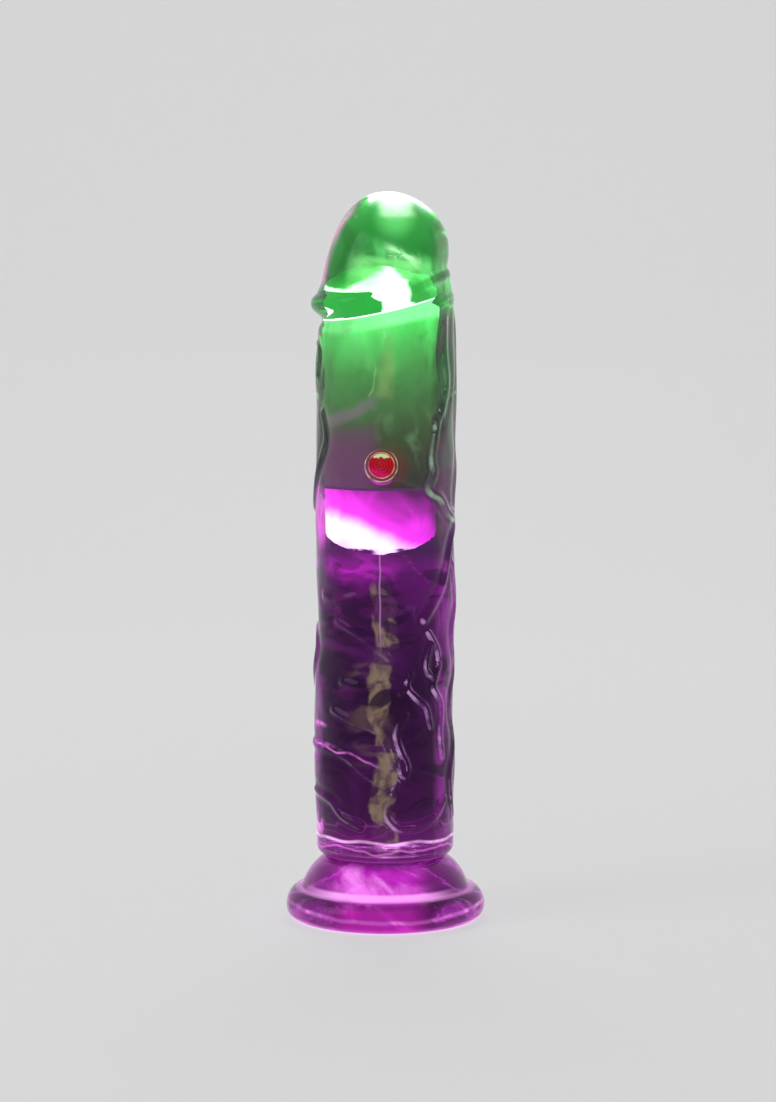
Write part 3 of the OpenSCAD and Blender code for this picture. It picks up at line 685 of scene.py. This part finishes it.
def layGleamsAndShade(gel, x, z, ahead, lit, grain):
    # a fine vein of light, bright spots on the left edge, a painted tan reflection and painted dark
    # shade, both in blotches
    wave = (gel.noise(0.009, 2, (1, 1, 0.1), 0.0, 2.2) - 0.5) * (5 * mm)
    vein = gel.band(z + x * 0.27 + wave, 49.9 * mm, 0.05 * mm, 0.55 * mm)
    vein = vein * gel.between(x, 5 * mm, -15 * mm) * ahead
    gel.lay(vein * (0.25 + 0.75 * grain), (0.8, 0.2, 0.76))
    frayed = gel.between(gel.noise(0.006, 3, (0.5, 1, 1.6), 0.8, 8.3), 0.35, 0.65)
    for place, radii in edgeSpots:
        gel.lay(gel.spot(place, radii) * frayed, (0.9, 0.2, 0.86))
    across = gel.noise(0.012, 4, (0.55, 1, 1.9), 0.9, 3.7)
    # a painted reflection, tan, broken into blotches
    tanReflection = gel.band(x, -5 * mm, 3 * mm, 6 * mm) * gel.band(z, 76 * mm, 20 * mm, 12 * mm) * ahead
    gel.lay(tanReflection * gel.between(across, 0.5, 0.66) * 0.5, (0.11, 0.07, 0.05))
    # painted shade in dark blotches low on the shaft
    dark = gel.between(across, 0.5, 0.34) * lit * gel.between(z, 28 * mm, 34 * mm)
    gel.lay(dark * 0.8, (0.003, 0.0, 0.005))


def layFront(gel, x, y, z):
    # a painted reflection: the broken tan streak down the front; and a fine painted highlight along
    # the mould's seam under the capsule
    broken = gel.between(gel.noise(0.011, 4, (1, 1, 1.3), 0.8, 2.4), 0.44, 0.58)
    fine = gel.between(gel.noise(0.0025, 4, (1, 1, 0.5), 0.5), 0.35, 0.6, 0.45, 0.95)
    gaps = gel.between(gel.noise(0.013, 2, (0.25, 0.25, 1), 0.4, 1.6), 0.36, 0.44)
    wander = (gel.noise(0.014, 4, (0.3, 0.3, 1), 0.6, 7.7) - 0.5) * (12 * mm)
    front = gel.between(y, -12 * mm, -16 * mm)
    reflectionStreak = gel.band(x + wander, -0.5 * mm, 2.8 * mm, 1.2 * mm) * front
    reflectionStreak = reflectionStreak * gel.band(z, 66 * mm, 36 * mm, 12 * mm) * (0.1 + 0.9 * broken) * fine
    gel.lay(reflectionStreak * (0.12 + 0.88 * gaps), (0.2, 0.145, 0.085))
    seam = gel.band(x + wander * 0.15, -1.6 * mm, 0.05 * mm, 0.35 * mm) * front
    gel.lay(seam * gel.band(z, 104 * mm, 10 * mm, 10 * mm) * 0.7, (0.42, 0.2, 0.45))


def layBond(gel, z, patches):
    # the bonded joint shows as fine lines of painted light that part and meet
    wobble = (gel.noise(0.012, 1, (1, 1, 0.1)) - 0.5) * (2.6 * mm)
    other = (gel.noise(0.009, 1, (1, 1, 0.1), 0.0, 4.4) - 0.5) * (6 * mm)
    line = gel.band(z + wobble, 25.4 * mm, 0.15 * mm, 0.6 * mm)
    gel.lay(line * (0.45 + 0.55 * patches), (0.95, 0.45, 0.92))
    gel.lay(gel.band(z + other, 22.6 * mm, 0.1 * mm, 0.45 * mm) * 0.7, (0.6, 0.12, 0.55))
    gel.lay(gel.band(z, 19.2 * mm, 0.1 * mm, 0.4 * mm) * 0.5, (0.4, 0.06, 0.36))


def paintBody():
    gel = Paint("clearGel", bodyRise, Roughness=0.03, IOR=1.45, Transmission_Weight=1.0,
                Emission_Strength=1.0, Specular_Tint=gelShine)
    x, y, z = gel.axes()
    gel.put("Base Color", tintAndShadeGel(gel, x, z))
    ahead = gel.between(y, 6 * mm, -2 * mm)
    lit = gel.between(z, 122 * mm, 108 * mm)    # where the lower lights reach
    streaks = gel.noise(0.006, 3, (1, 1, 0.3), 0.6, 1.7)
    patches = gel.between(gel.noise(0.009, 2, (1, 1, 0.4), 0.8), 0.36, 0.62)
    grain = gel.between(gel.noise(0.005, 2, (1, 1, 1), 0.5, 5.2), 0.35, 0.6, 0.15, 1.0)
    gel.glow = gel.ramp(z, bodyTop, bodyGlow)
    layCrownLight(gel, x, y, z, streaks)
    laySides(gel, x, y, z, ahead, lit, patches)
    layVeils(gel, x, z, ahead, streaks)
    layFolds(gel, x, lit, grain)
    layCloudLightAndShade(gel, x, z, ahead, lit, patches)
    layGleamsAndShade(gel, x, z, ahead, lit, grain)
    layFront(gel, x, y, z)
    layBond(gel, z, patches)
    gel.put("Emission Color", gel.glow)
    gel.bump(gel.noise(0.0035, 3, (1, 1, 0.45), 0.4), 0.2 * mm, 0.4)
    return gel


coverWith(softBody, paintBody())


foot = {
    "weld": 0.02,             # mm, as all sizes here: points this near become one
    "voxel": 0.55,
    "smoothRounds": 4,
    "unevenness": 0.12,
    "unevenFrom": (2, 3),     # the unevenness fades in over this height, and out again
    "unevenTo": (20, 3),
    # painted shade in the clear gel's tint, by height
    "tint": [
        (0, (0.12, 0.035, 0.13)), (4, (0.06, 0.014, 0.07)), (9, (0.02, 0.004, 0.025)),
        (11, (0.05, 0.008, 0.06)), (16, (0.035, 0.005, 0.045)), (20.5, (0.02, 0.003, 0.025))],
    "glow": [
        (0, (0.8, 0.32, 0.78)), (0.6, (0.4, 0.05, 0.37)), (2, (0.07, 0.002, 0.065)),
        (8, (0.03, 0.001, 0.03)), (9.6, (0.006, 0.0, 0.007)), (10.2, (0.4, 0.1, 0.38)),
        (11.6, (0.07, 0.002, 0.07)), (18, (0.03, 0.001, 0.03)), (20.5, (0.02, 0.0, 0.022))],
}


def makeFoot():
    # the CAD foot is round and true: a merged copy gets a finer, softly worn skin
    onlyThis(nodes["suction_foot"])
    bpy.ops.object.duplicate()
    piece = bpy.context.object
    piece.name = "gelFoot"
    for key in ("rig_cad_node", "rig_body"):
        if key in piece:
            del piece[key]
    piece.parent = None
    bpy.ops.object.mode_set(mode="EDIT")
    bpy.ops.mesh.select_all(action="SELECT")
    bpy.ops.mesh.remove_doubles(threshold=foot["weld"] * mm)
    bpy.ops.object.mode_set(mode="OBJECT")
    remesh = piece.modifiers.new("remesh", "REMESH")
    remesh.mode = "VOXEL"
    remesh.voxel_size = foot["voxel"] * mm
    remesh.use_smooth_shade = True
    soften = piece.modifiers.new("soften", "SMOOTH")
    soften.factor = 0.5
    soften.iterations = foot["smoothRounds"]
    applyAll(piece)
    spots = pointsOf(piece)
    turn = np.arctan2(spots[:, 1], spots[:, 0])
    height = spots[:, 2]
    start, over = foot["unevenFrom"]
    end, out = foot["unevenTo"]
    upper = smoothStep((height - start * mm) / (over * mm))
    upper = upper * smoothStep((end * mm - height) / (out * mm))
    waves = np.sin(5 * turn + 0.4) + 0.7 * np.sin(9 * turn + height * 400)
    uneven = waves * foot["unevenness"] * mm * upper
    spots[:, 0] += np.cos(turn) * uneven
    spots[:, 1] += np.sin(turn) * uneven
    setPoints(piece, spots)
    smoothed(piece, 60)
    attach(piece, "housing")
    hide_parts("suction_foot")
    return piece


def paintFoot():
    gel = Paint("footGel", Roughness=0.04, IOR=1.45, Transmission_Weight=1.0,
                Emission_Strength=1.0, Specular_Tint=gelShine)
    x, y, z = gel.axes()
    gel.put("Base Color", gel.ramp(z, footTop, foot["tint"]))
    gel.glow = gel.ramp(z, footTop, foot["glow"])
    gleam = gel.between(gel.noise(0.007, 4, (1, 1, 0.28), 0.5, 0.0, 38), 0.48, 0.72)
    aside = (x + 2 * mm).math("ABSOLUTE")
    inFront = gel.between(y, 0.0, -14 * mm)
    middle = gel.between(aside, 8 * mm, 17.5 * mm, 1.0, 0.0)
    # painted light: the rim's front, then the bell over it, brightest in the middle
    rim = gel.band(z, 4.6 * mm, 2.6 * mm, 2 * mm) * middle
    gel.lay(rim * (0.45 + 0.5 * gleam), (0.55, 0.02, 0.45))
    bell = gel.band(z, 14 * mm, 3 * mm, 3.5 * mm) * middle
    gel.lay(bell * 0.85, (0.48, 0.012, 0.46))
    gel.lay(bell * gleam, (0.85, 0.24, 0.83))
    # a painted highlight over the bell's brow
    browHighlight = gel.band(z, 12.2 * mm, 0.8 * mm, 2.4 * mm)
    browHighlight = browHighlight * gel.between(aside, 10 * mm, 20 * mm, 1.0, 0.0)
    gel.lay(browHighlight * (0.3 + 0.5 * gleam), (0.85, 0.18, 0.83))
    # painted shade at the bell's sides
    shadedSides = gel.between(aside, 17 * mm, 24 * mm) * gel.band(z, 14.5 * mm, 3.5 * mm, 1.5 * mm)
    gel.lay(shadedSides * 0.85, (0.02, 0.0, 0.024))
    # a painted highlight along the lip
    lipHighlight = gel.band(z, 10.9 * mm, 0.4 * mm, 1.0 * mm) * inFront
    gel.lay(lipHighlight * gel.between(aside, 12 * mm, 26 * mm, 1.0, 0.0) * 0.9, (0.93, 0.4, 0.92))
    # a painted highlight: the bright line round the rim sags towards the sides
    sagPerMetre = 2.4
    wobble = (gel.noise(0.012, 2, (1, 1, 0)) - 0.5) * (2 * mm)
    line = gel.band(z - x * x * sagPerMetre + wobble, 4.0 * mm, 0.1 * mm, 0.9 * mm) * inFront
    gel.lay(line * (0.2 + 0.7 * gleam), (0.85, 0.3, 0.82))
    gel.put("Emission Color", gel.glow)
    gel.bump(gel.noise(0.006, 3, (1, 1, 1.6), 0.8), 0.3 * mm, 0.45)
    return gel


gelFoot = makeFoot()
coverWith(gelFoot, paintFoot())
print("foot made:", len(gelFoot.data.polygons), "faces")


capsule = {
    "upperBase": [
        (132, (0.05, 0.04, 0.05)), (150, (0.04, 0.06, 0.04)), (168, (0.04, 0.14, 0.05)),
        (184, (0.06, 0.3, 0.09)), (196, (0.2, 0.7, 0.28))],
    "upperGlow": [
        (136, (0.012, 0.014, 0.01)), (145, (0.016, 0.021, 0.012)), (155, (0.026, 0.04, 0.019)),
        (164, (0.033, 0.07, 0.029)), (174, (0.036, 0.105, 0.035)), (183, (0.05, 0.2, 0.06)),
        (190, (0.08, 0.3, 0.1)), (194, (0.15, 0.4, 0.17))],
    "lowerGlow": [
        (114, (0.6, 0.04, 0.56)), (123, (0.62, 0.035, 0.56)), (129.5, (0.42, 0.02, 0.38)),
        (134, (0.18, 0.012, 0.165)), (139, (0.04, 0.008, 0.04))],
    "lensGlow": [
        (200, (1.0, 0.6, 0.9)), (205.8, (0.9, 0.55, 0.8)), (206.8, (0.09, 0.25, 0.09)),
        (208.5, (0.02, 0.085, 0.024)), (211, (0.01, 0.06, 0.013))],
    "groove": 191.7,          # mm: the slanting groove's height on the axis
    "grooveSlope": 0.24,
}


def layGroove(shell, x, z, mottle):
    # painted light and shade along the slanting groove: a mint glow below it, and above it painted
    # shade on the left and white light on the right
    line = z - x * capsule["grooveSlope"] - capsule["groove"] * mm
    below = shell.band(line, -1.6 * mm, 1.0 * mm, 2.8 * mm)
    shell.lay(below * shell.between(x, -12 * mm, 4 * mm, 0.2, 0.7), (0.28, 0.48, 0.31))
    edge = x + (mottle - 0.5) * (2 * mm) - shell.between(z, 196.5 * mm, 196 * mm, 0.0, 4 * mm)
    white = shell.between(edge, -5.4 * mm, -4.6 * mm) * shell.between(x, 8 * mm, 6.5 * mm)
    white = white + shell.band(line, 0.5 * mm, 0.5 * mm, 0.5 * mm)
    over = shell.mix(white.math("MINIMUM", 1.0), (0.015, 0.09, 0.025), (1.0, 0.8, 1.0))
    shell.lay(shell.between(line, -0.2 * mm, 0.3 * mm), over)


def layTanGlow(shell, x, z):
    # painted light: a faint tan glow over the button, narrow at its top, with a fine line down its
    # left side
    patchy = shell.between(shell.noise(0.006, 3, (1, 1, 0.4), 1.0, 2.0), 0.4, 0.66)
    unsteady = (shell.noise(0.007, 4, (0.5, 1, 1), 0.8, 5.5) - 0.5) * (7 * mm)
    inward = x + unsteady - shell.between(z, 163 * mm, 186 * mm, -5 * mm, -1 * mm)
    tall = shell.band(z + unsteady * 0.6, 175.5 * mm, 9 * mm, 3 * mm)
    mark = shell.between(inward, 0.0, 3 * mm, 0.15, 1.0) * shell.between(inward, 0.0, 0.4 * mm)
    mark = mark * tall * shell.between(x + unsteady * 0.4, 3.4 * mm, 1.8 * mm)
    shell.lay(mark * (0.15 + 0.35 * patchy), (0.13, 0.14, 0.065))
    outline = shell.band(inward, 0.0, 0.08 * mm, 0.4 * mm) * tall * patchy
    shell.lay(outline * 0.4, (0.24, 0.27, 0.14))


def paintUpperShell():
    shell = Paint("frostedGreen", bodyRise, Roughness=0.55, Emission_Strength=7.0)
    x, y, z = shell.axes()
    drift = (shell.noise(0.016, 3, (1, 1, 0.6), 0.6) - 0.5) * (22 * mm)
    mottle = shell.noise(0.009, 4, (1, 1, 0.85), 0.7, 3.3)
    shell.put("Base Color", shell.ramp(z + drift, bodyTop, capsule["upperBase"]))
    shell.glow = shell.ramp(z + drift, bodyTop, capsule["upperGlow"])
    # painted shade and light: the glow darker and lighter in mottled patches
    shell.lay(shell.between(mottle, 0.48, 0.7) * 0.4, (0.018, 0.045, 0.02))
    shell.lay(shell.between(mottle, 0.46, 0.28) * 0.3, (0.1, 0.19, 0.1))
    layGroove(shell, x, z, mottle)
    # painted light: a pink cloud beside the button and a wisp over it
    pink = shell.between(z + drift * 0.7, 162 * mm, 152 * mm)
    pink = pink * shell.between(x + drift * 0.3, 1 * mm, -6 * mm)
    shell.lay(pink * 0.85, (0.068, 0.024, 0.06))
    wisp = shell.band(z + drift * 0.5 - x * 0.5, 166 * mm, 0.6 * mm, 2.2 * mm)
    shell.lay(wisp * shell.between(x, 0.0, -6 * mm) * 0.5, (0.12, 0.06, 0.11))
    layTanGlow(shell, x, z)
    # the red light behind the button
    low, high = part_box("button_cap")
    middle = (low + high) / 2
    halo = shell.spot((middle.x + 2.5 * mm, low.y, middle.z - bodyRise),
                      (9 * mm, 9 * mm, 9 * mm))
    shell.lay(halo * 0.55, (0.09, 0.016, 0.01))
    shell.put("Emission Color", shell.glow)
    return shell


def paintLowerShell():
    shell = Paint("frostedMagenta", bodyRise, Roughness=0.55, Emission_Strength=6.5)
    x, y, z = shell.axes()
    shell.put("Base Color", (0.4, 0.08, 0.42))
    drift = (shell.noise(0.008, 3, (1, 1, 0.8), 0.7) - 0.5) * (11 * mm)
    shell.glow = shell.ramp(z + drift + x * 0.55, bodyTop, capsule["lowerGlow"])
    hot = shell.between(z + drift * 0.4 + x * 0.5, 124.5 * mm, 117.5 * mm)
    shell.lay(hot, (0.95, 0.8, 0.95))
    ragged = (shell.noise(0.003, 3, (1, 1, 1), 1.0) - 0.5) * (3 * mm)
    rim = shell.between(z + ragged, 118 * mm, 117.2 * mm)
    rim = rim * shell.between(x.math("ABSOLUTE"), 1.5 * mm, 4 * mm)
    shell.lay(rim, (0.01, 0.0, 0.012))
    shell.put("Emission Color", shell.glow)
    return shell


def paintLens():
    # lit from below: a white-hot wedge that peaks at the middle and runs out to the left
    lens = Paint("lensGreen", bodyRise, Roughness=0.15, Emission_Strength=7.0)
    x, y, z = lens.axes()
    lens.put("Base Color", (0.3, 0.8, 0.35))
    ragged = (lens.noise(0.005, 3, (1, 1, 1), 0.8) - 0.5) * (3 * mm)
    off = x - 1.2 * mm
    right = off.math("MAXIMUM", 0.0)
    left = (-1 * off).math("MAXIMUM", 0.0)
    lens.glow = lens.ramp(z + ragged + right * 1.3 + left * 0.75, bodyTop, capsule["lensGlow"])
    lens.lay(lens.between(z + ragged * 0.4, 198.2 * mm, 197.4 * mm), (0.9, 0.55, 0.8))
    # past the wedge, green swirls of painted light
    swirl = lens.between(lens.noise(0.012, 2, (1, 1, 1), 0.6, 3.9), 0.35, 0.65)
    swirl = lens.mix(swirl, (0.025, 0.075, 0.03), (0.05, 0.14, 0.055))
    lens.lay(lens.between(x + ragged * 0.3, 5.8 * mm, 6.8 * mm), swirl)
    lens.put("Emission Color", lens.glow)
    return lens


button = {
    "ringGap": 0.95 * mm,
    "shineAbove": 2.2 * mm,
    "shineReach": 3.95 * mm,
    "bezelLines": (4.1 * mm, 5.1 * mm),
}


def fromButton(paint):
    # vector from the middle of the button's face
    low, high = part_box("button_cap")
    middle = (low + high) / 2
    return paint.vector("SUBTRACT", paint.place, (middle.x, low.y, middle.z))


def paintButton():
    red = Paint("redButton", Roughness=0.25, Emission_Strength=1.0, Coat_Weight=0.15,
                Specular_IOR_Level=0.25)
    moved = fromButton(red)
    x, y, z = red.axes(moved)
    reach = red.length(moved)
    rings = (reach * (2 * math.pi / button["ringGap"])).math("SINE")
    red.put("Base Color", (0.5, 0.006, 0.015))
    red.glow = red.mix(red.between(rings, 0.2, 0.9), (0.24, 0.0, 0.006), (0.38, 0.006, 0.016))
    rosy = red.between(z + x * 0.4, -0.8 * mm, -3.2 * mm)
    red.lay(rosy * 0.7, (0.5, 0.006, 0.13))
    # a jagged green gleam at the top edge
    jag = (red.noise(0.0012, 2, (1, 1, 0.4)) - 0.5) * (2.2 * mm)
    shine = red.between(z + jag, button["shineAbove"], button["shineAbove"] + 0.4 * mm)
    shine = shine * red.between(reach, button["shineReach"], button["shineReach"] - 0.25 * mm)
    red.lay(shine * 0.9, (0.4, 0.75, 0.36))
    red.put("Emission Color", red.glow)
    red.bump(rings, 0.12 * mm, 0.7)
    return red


def paintBezel():
    clear = Paint("clearBezel", Roughness=0.06, IOR=1.47, Transmission_Weight=1.0,
                  Emission_Strength=1.0, Specular_Tint=gelShine)
    clear.put("Base Color", (0.3, 0.24, 0.22))
    x, y, z = clear.axes(fromButton(clear))
    reach = clear.length(clear.node("ShaderNodeCombineXYZ", {}, {"X": x, "Z": z}))
    inner, outer = button["bezelLines"]
    # painted highlights: thin bright lines round the bezel's inner and outer edges
    lines = (clear.band(reach, inner, 0.03 * mm, 0.16 * mm)
             + clear.band(reach, outer, 0.05 * mm, 0.17 * mm))
    uneven = clear.between(clear.noise(0.003, 2), 0.35, 0.6)
    clear.glow = (0.012, 0.003, 0.002)
    clear.lay(lines * uneven, (0.42, 0.33, 0.24))
    clear.put("Emission Color", clear.glow)
    return clear


def paintPlain(name, colour, roughness, metallic=0.0, grain=0.0, glow=None):
    # moulded plastic, metal or rubber with a faint grain in colour, gloss and surface
    plain = Paint(name, Metallic=metallic)
    speck = plain.noise(0.0012, 3)
    dark = tuple(c * (0.82 - grain) for c in colour)
    glossy, dull = roughness * 0.85, min(1, roughness * 1.15)
    plain.put("Base Color", plain.mix(speck, dark, colour))
    plain.put("Roughness", plain.between(speck, 0.2, 0.8, glossy, dull))
    plain.bump(speck, 0.03 * mm, 0.4)
    if glow:
        plain.put("Emission Color", glow)
        plain.put("Emission Strength", 1.0)
    return plain


def paintNodes():
    white = paintPlain("whitePlastic", (0.8, 0.8, 0.78), 0.5)
    black = paintPlain("blackPlastic", (0.03, 0.03, 0.035), 0.45)
    steel = paintPlain("platedSteel", (0.62, 0.62, 0.6), 0.28, 1.0)
    dark = paintPlain("sinteredMetal", (0.16, 0.16, 0.17), 0.5, 1.0, 0.1)
    wear = {
        "capsule_upper_shell": paintUpperShell(),
        "capsule_lower_shell": paintLowerShell(),
        "capsule_gasket": paintPlain("gasketRubber", (0.35, 0.2, 0.38), 0.6,
                                     glow=(0.25, 0.08, 0.27)),
        "top_lens": paintLens(),
        "button_cap": paintButton(),
        "button_bezel": paintBezel(),
        "chassis": white, "switch_plunger": white, "top_led_board": white,
        "top_reflector": white, "lower_led_board": white,
        "control_chip": black, "switch_body": black, "charge_jack": black,
        "control_board": paintPlain("circuitBoard", (0.02, 0.16, 0.06), 0.35),
        "board_capacitors": paintPlain("tanCeramic", (0.45, 0.3, 0.16), 0.45),
        "board_screws": steel, "battery_tab_top": steel, "battery_tab_bottom": steel,
        "motor_can": steel, "motor_shaft": steel,
        "motor_magnets": dark, "eccentric_weight": dark,
        "status_leds": paintPlain("redLight", (0.9, 0.03, 0.03), 0.3, glow=(1.0, 0.05, 0.05)),
        "green_led": paintPlain("greenLight", (0.3, 0.95, 0.35), 0.3, glow=(0.4, 1.0, 0.5)),
        "magenta_leds": paintPlain("magentaLight", (0.95, 0.2, 0.9), 0.3, glow=(1.0, 0.3, 1.0)),
        "battery_cell": paintPlain("cellSleeve", (0.04, 0.12, 0.4), 0.3),
        "battery_leads": paintPlain("redWire", (0.5, 0.02, 0.02), 0.4),
        "motor_leads": paintPlain("blueWire", (0.02, 0.06, 0.45), 0.4),
        "top_led_leads": paintPlain("yellowWire", (0.7, 0.42, 0.02), 0.4),
        "lower_led_leads": paintPlain("yellowWireLow", (0.7, 0.42, 0.02), 0.4),
        "motor_boot": paintPlain("bootRubber", (0.05, 0.05, 0.055), 0.7, 0.0, 0.15),
        "motor_end_cap": paintPlain("ivoryPlastic", (0.7, 0.62, 0.42), 0.5),
        "motor_armature": paintPlain("copperWinding", (0.65, 0.3, 0.12), 0.35, 1.0, 0.2),
    }
    for name, paint in wear.items():
        coverWith(nodes[name], paint)


paintNodes()
print("nodes painted")


room = {
    "floorSize": 3.0,
    "floorColour": (0.82, 0.82, 0.81),
    "bend": 0.6,              # the floor bends up into the backdrop over this length
    "paler": 0.6,
    "palerFor": ("Is Camera Ray", "Is Glossy Ray", "Is Transmission Ray"),
    "sky": (0.95, 0.95, 0.96),
    "skyStrength": 0.8,
}


def makeFloor():
    bpy.ops.object.select_all(action="DESELECT")
    bpy.ops.mesh.primitive_plane_add(size=room["floorSize"], location=(0, 0, 0))
    floor = bpy.context.object
    floor.name = "floor"
    points = floor.data.vertices
    # the far edge turns up into a backdrop
    for edge in floor.data.edges:
        edge.select = all(points[i].co.y > 0 for i in edge.vertices)
    for vertex in points:
        vertex.select = vertex.co.y > 0
    bpy.ops.object.mode_set(mode="EDIT")
    bpy.ops.mesh.extrude_region_move(
        TRANSFORM_OT_translate={"value": (0, 0, room["floorSize"])})
    bpy.ops.object.mode_set(mode="OBJECT")
    for edge in floor.data.edges:
        a, b = (floor.data.vertices[i].co for i in edge.vertices)
        edge.select = min(a.y, b.y) > 0 and max(a.z, b.z) < mm
    bpy.ops.object.mode_set(mode="EDIT")
    bpy.ops.mesh.select_mode(type="EDGE")
    bpy.ops.mesh.bevel(offset=room["bend"], segments=24, affect="EDGES")
    bpy.ops.object.mode_set(mode="OBJECT")
    smoothed(floor, 60)
    return floor


def paintFloor():
    pale = Paint("paleFloor", Roughness=0.85, Specular_IOR_Level=0.0)
    colour = room["floorColour"]
    speck = pale.noise(0.01, 2)
    pale.put("Base Color", pale.mix(speck, tuple(c * 0.98 for c in colour), colour))
    # seen, mirrored or looked at through glass, the floor is part white, and keeps its shadow
    rays = pale.node("ShaderNodeLightPath", {}, {}).socket.node.outputs
    seen = sum((Value(pale, rays[name]) for name in room["palerFor"]), 0.0)
    white = pale.node("ShaderNodeEmission", {}, {"Color": room["sky"], "Strength": 1.0})
    share = seen.math("MINIMUM", 1.0) * room["paler"]
    both = pale.node("ShaderNodeMixShader", {}, [share, Value(pale, pale.shader.outputs[0]), white])
    pale.tree.links.new(both.socket, pale.tree.nodes["Material Output"].inputs[0])
    return pale


def makeSky():
    world = bpy.data.worlds.new("sky")
    bpy.context.scene.world = world
    world.use_nodes = True
    background = world.node_tree.nodes["Background"]
    background.inputs["Color"].default_value = (*room["sky"], 1)
    background.inputs["Strength"].default_value = room["skyStrength"]


lamps = [
    # place, aim, width, height, watts, colour
    ((0.03, -1.6, 0.75), (0, 0, 0.12), 0.8, 0.5, 3.0, (1.0, 0.95, 0.86)),
    ((-1.0, -0.5, 0.7), (0, 0, 0.12), 0.7, 0.7, 3.0, (0.93, 0.96, 1.0)),
    ((0.0, 0.9, 1.3), (0, 0, 0.1), 0.9, 0.6, 5.0, (1.0, 1.0, 1.0)),
]


def makeLamps():
    for i, (place, aim, width, height, watts, colour) in enumerate(lamps):
        bpy.ops.object.light_add(type="AREA", location=place)
        lamp = bpy.context.object
        lamp.name = "lamp%d" % i
        facing = Vector(aim) - Vector(place)
        lamp.rotation_euler = facing.to_track_quat("-Z", "Y").to_euler()
        lamp.data.shape = "ELLIPSE"
        lamp.data.size = width
        lamp.data.size_y = height
        lamp.data.energy = watts
        lamp.data.color = colour


floor = makeFloor()
coverWith(floor, paintFloor())
makeSky()
makeLamps()
bpy.context.scene.view_settings.view_transform = "Standard"
print("room and lamps made")
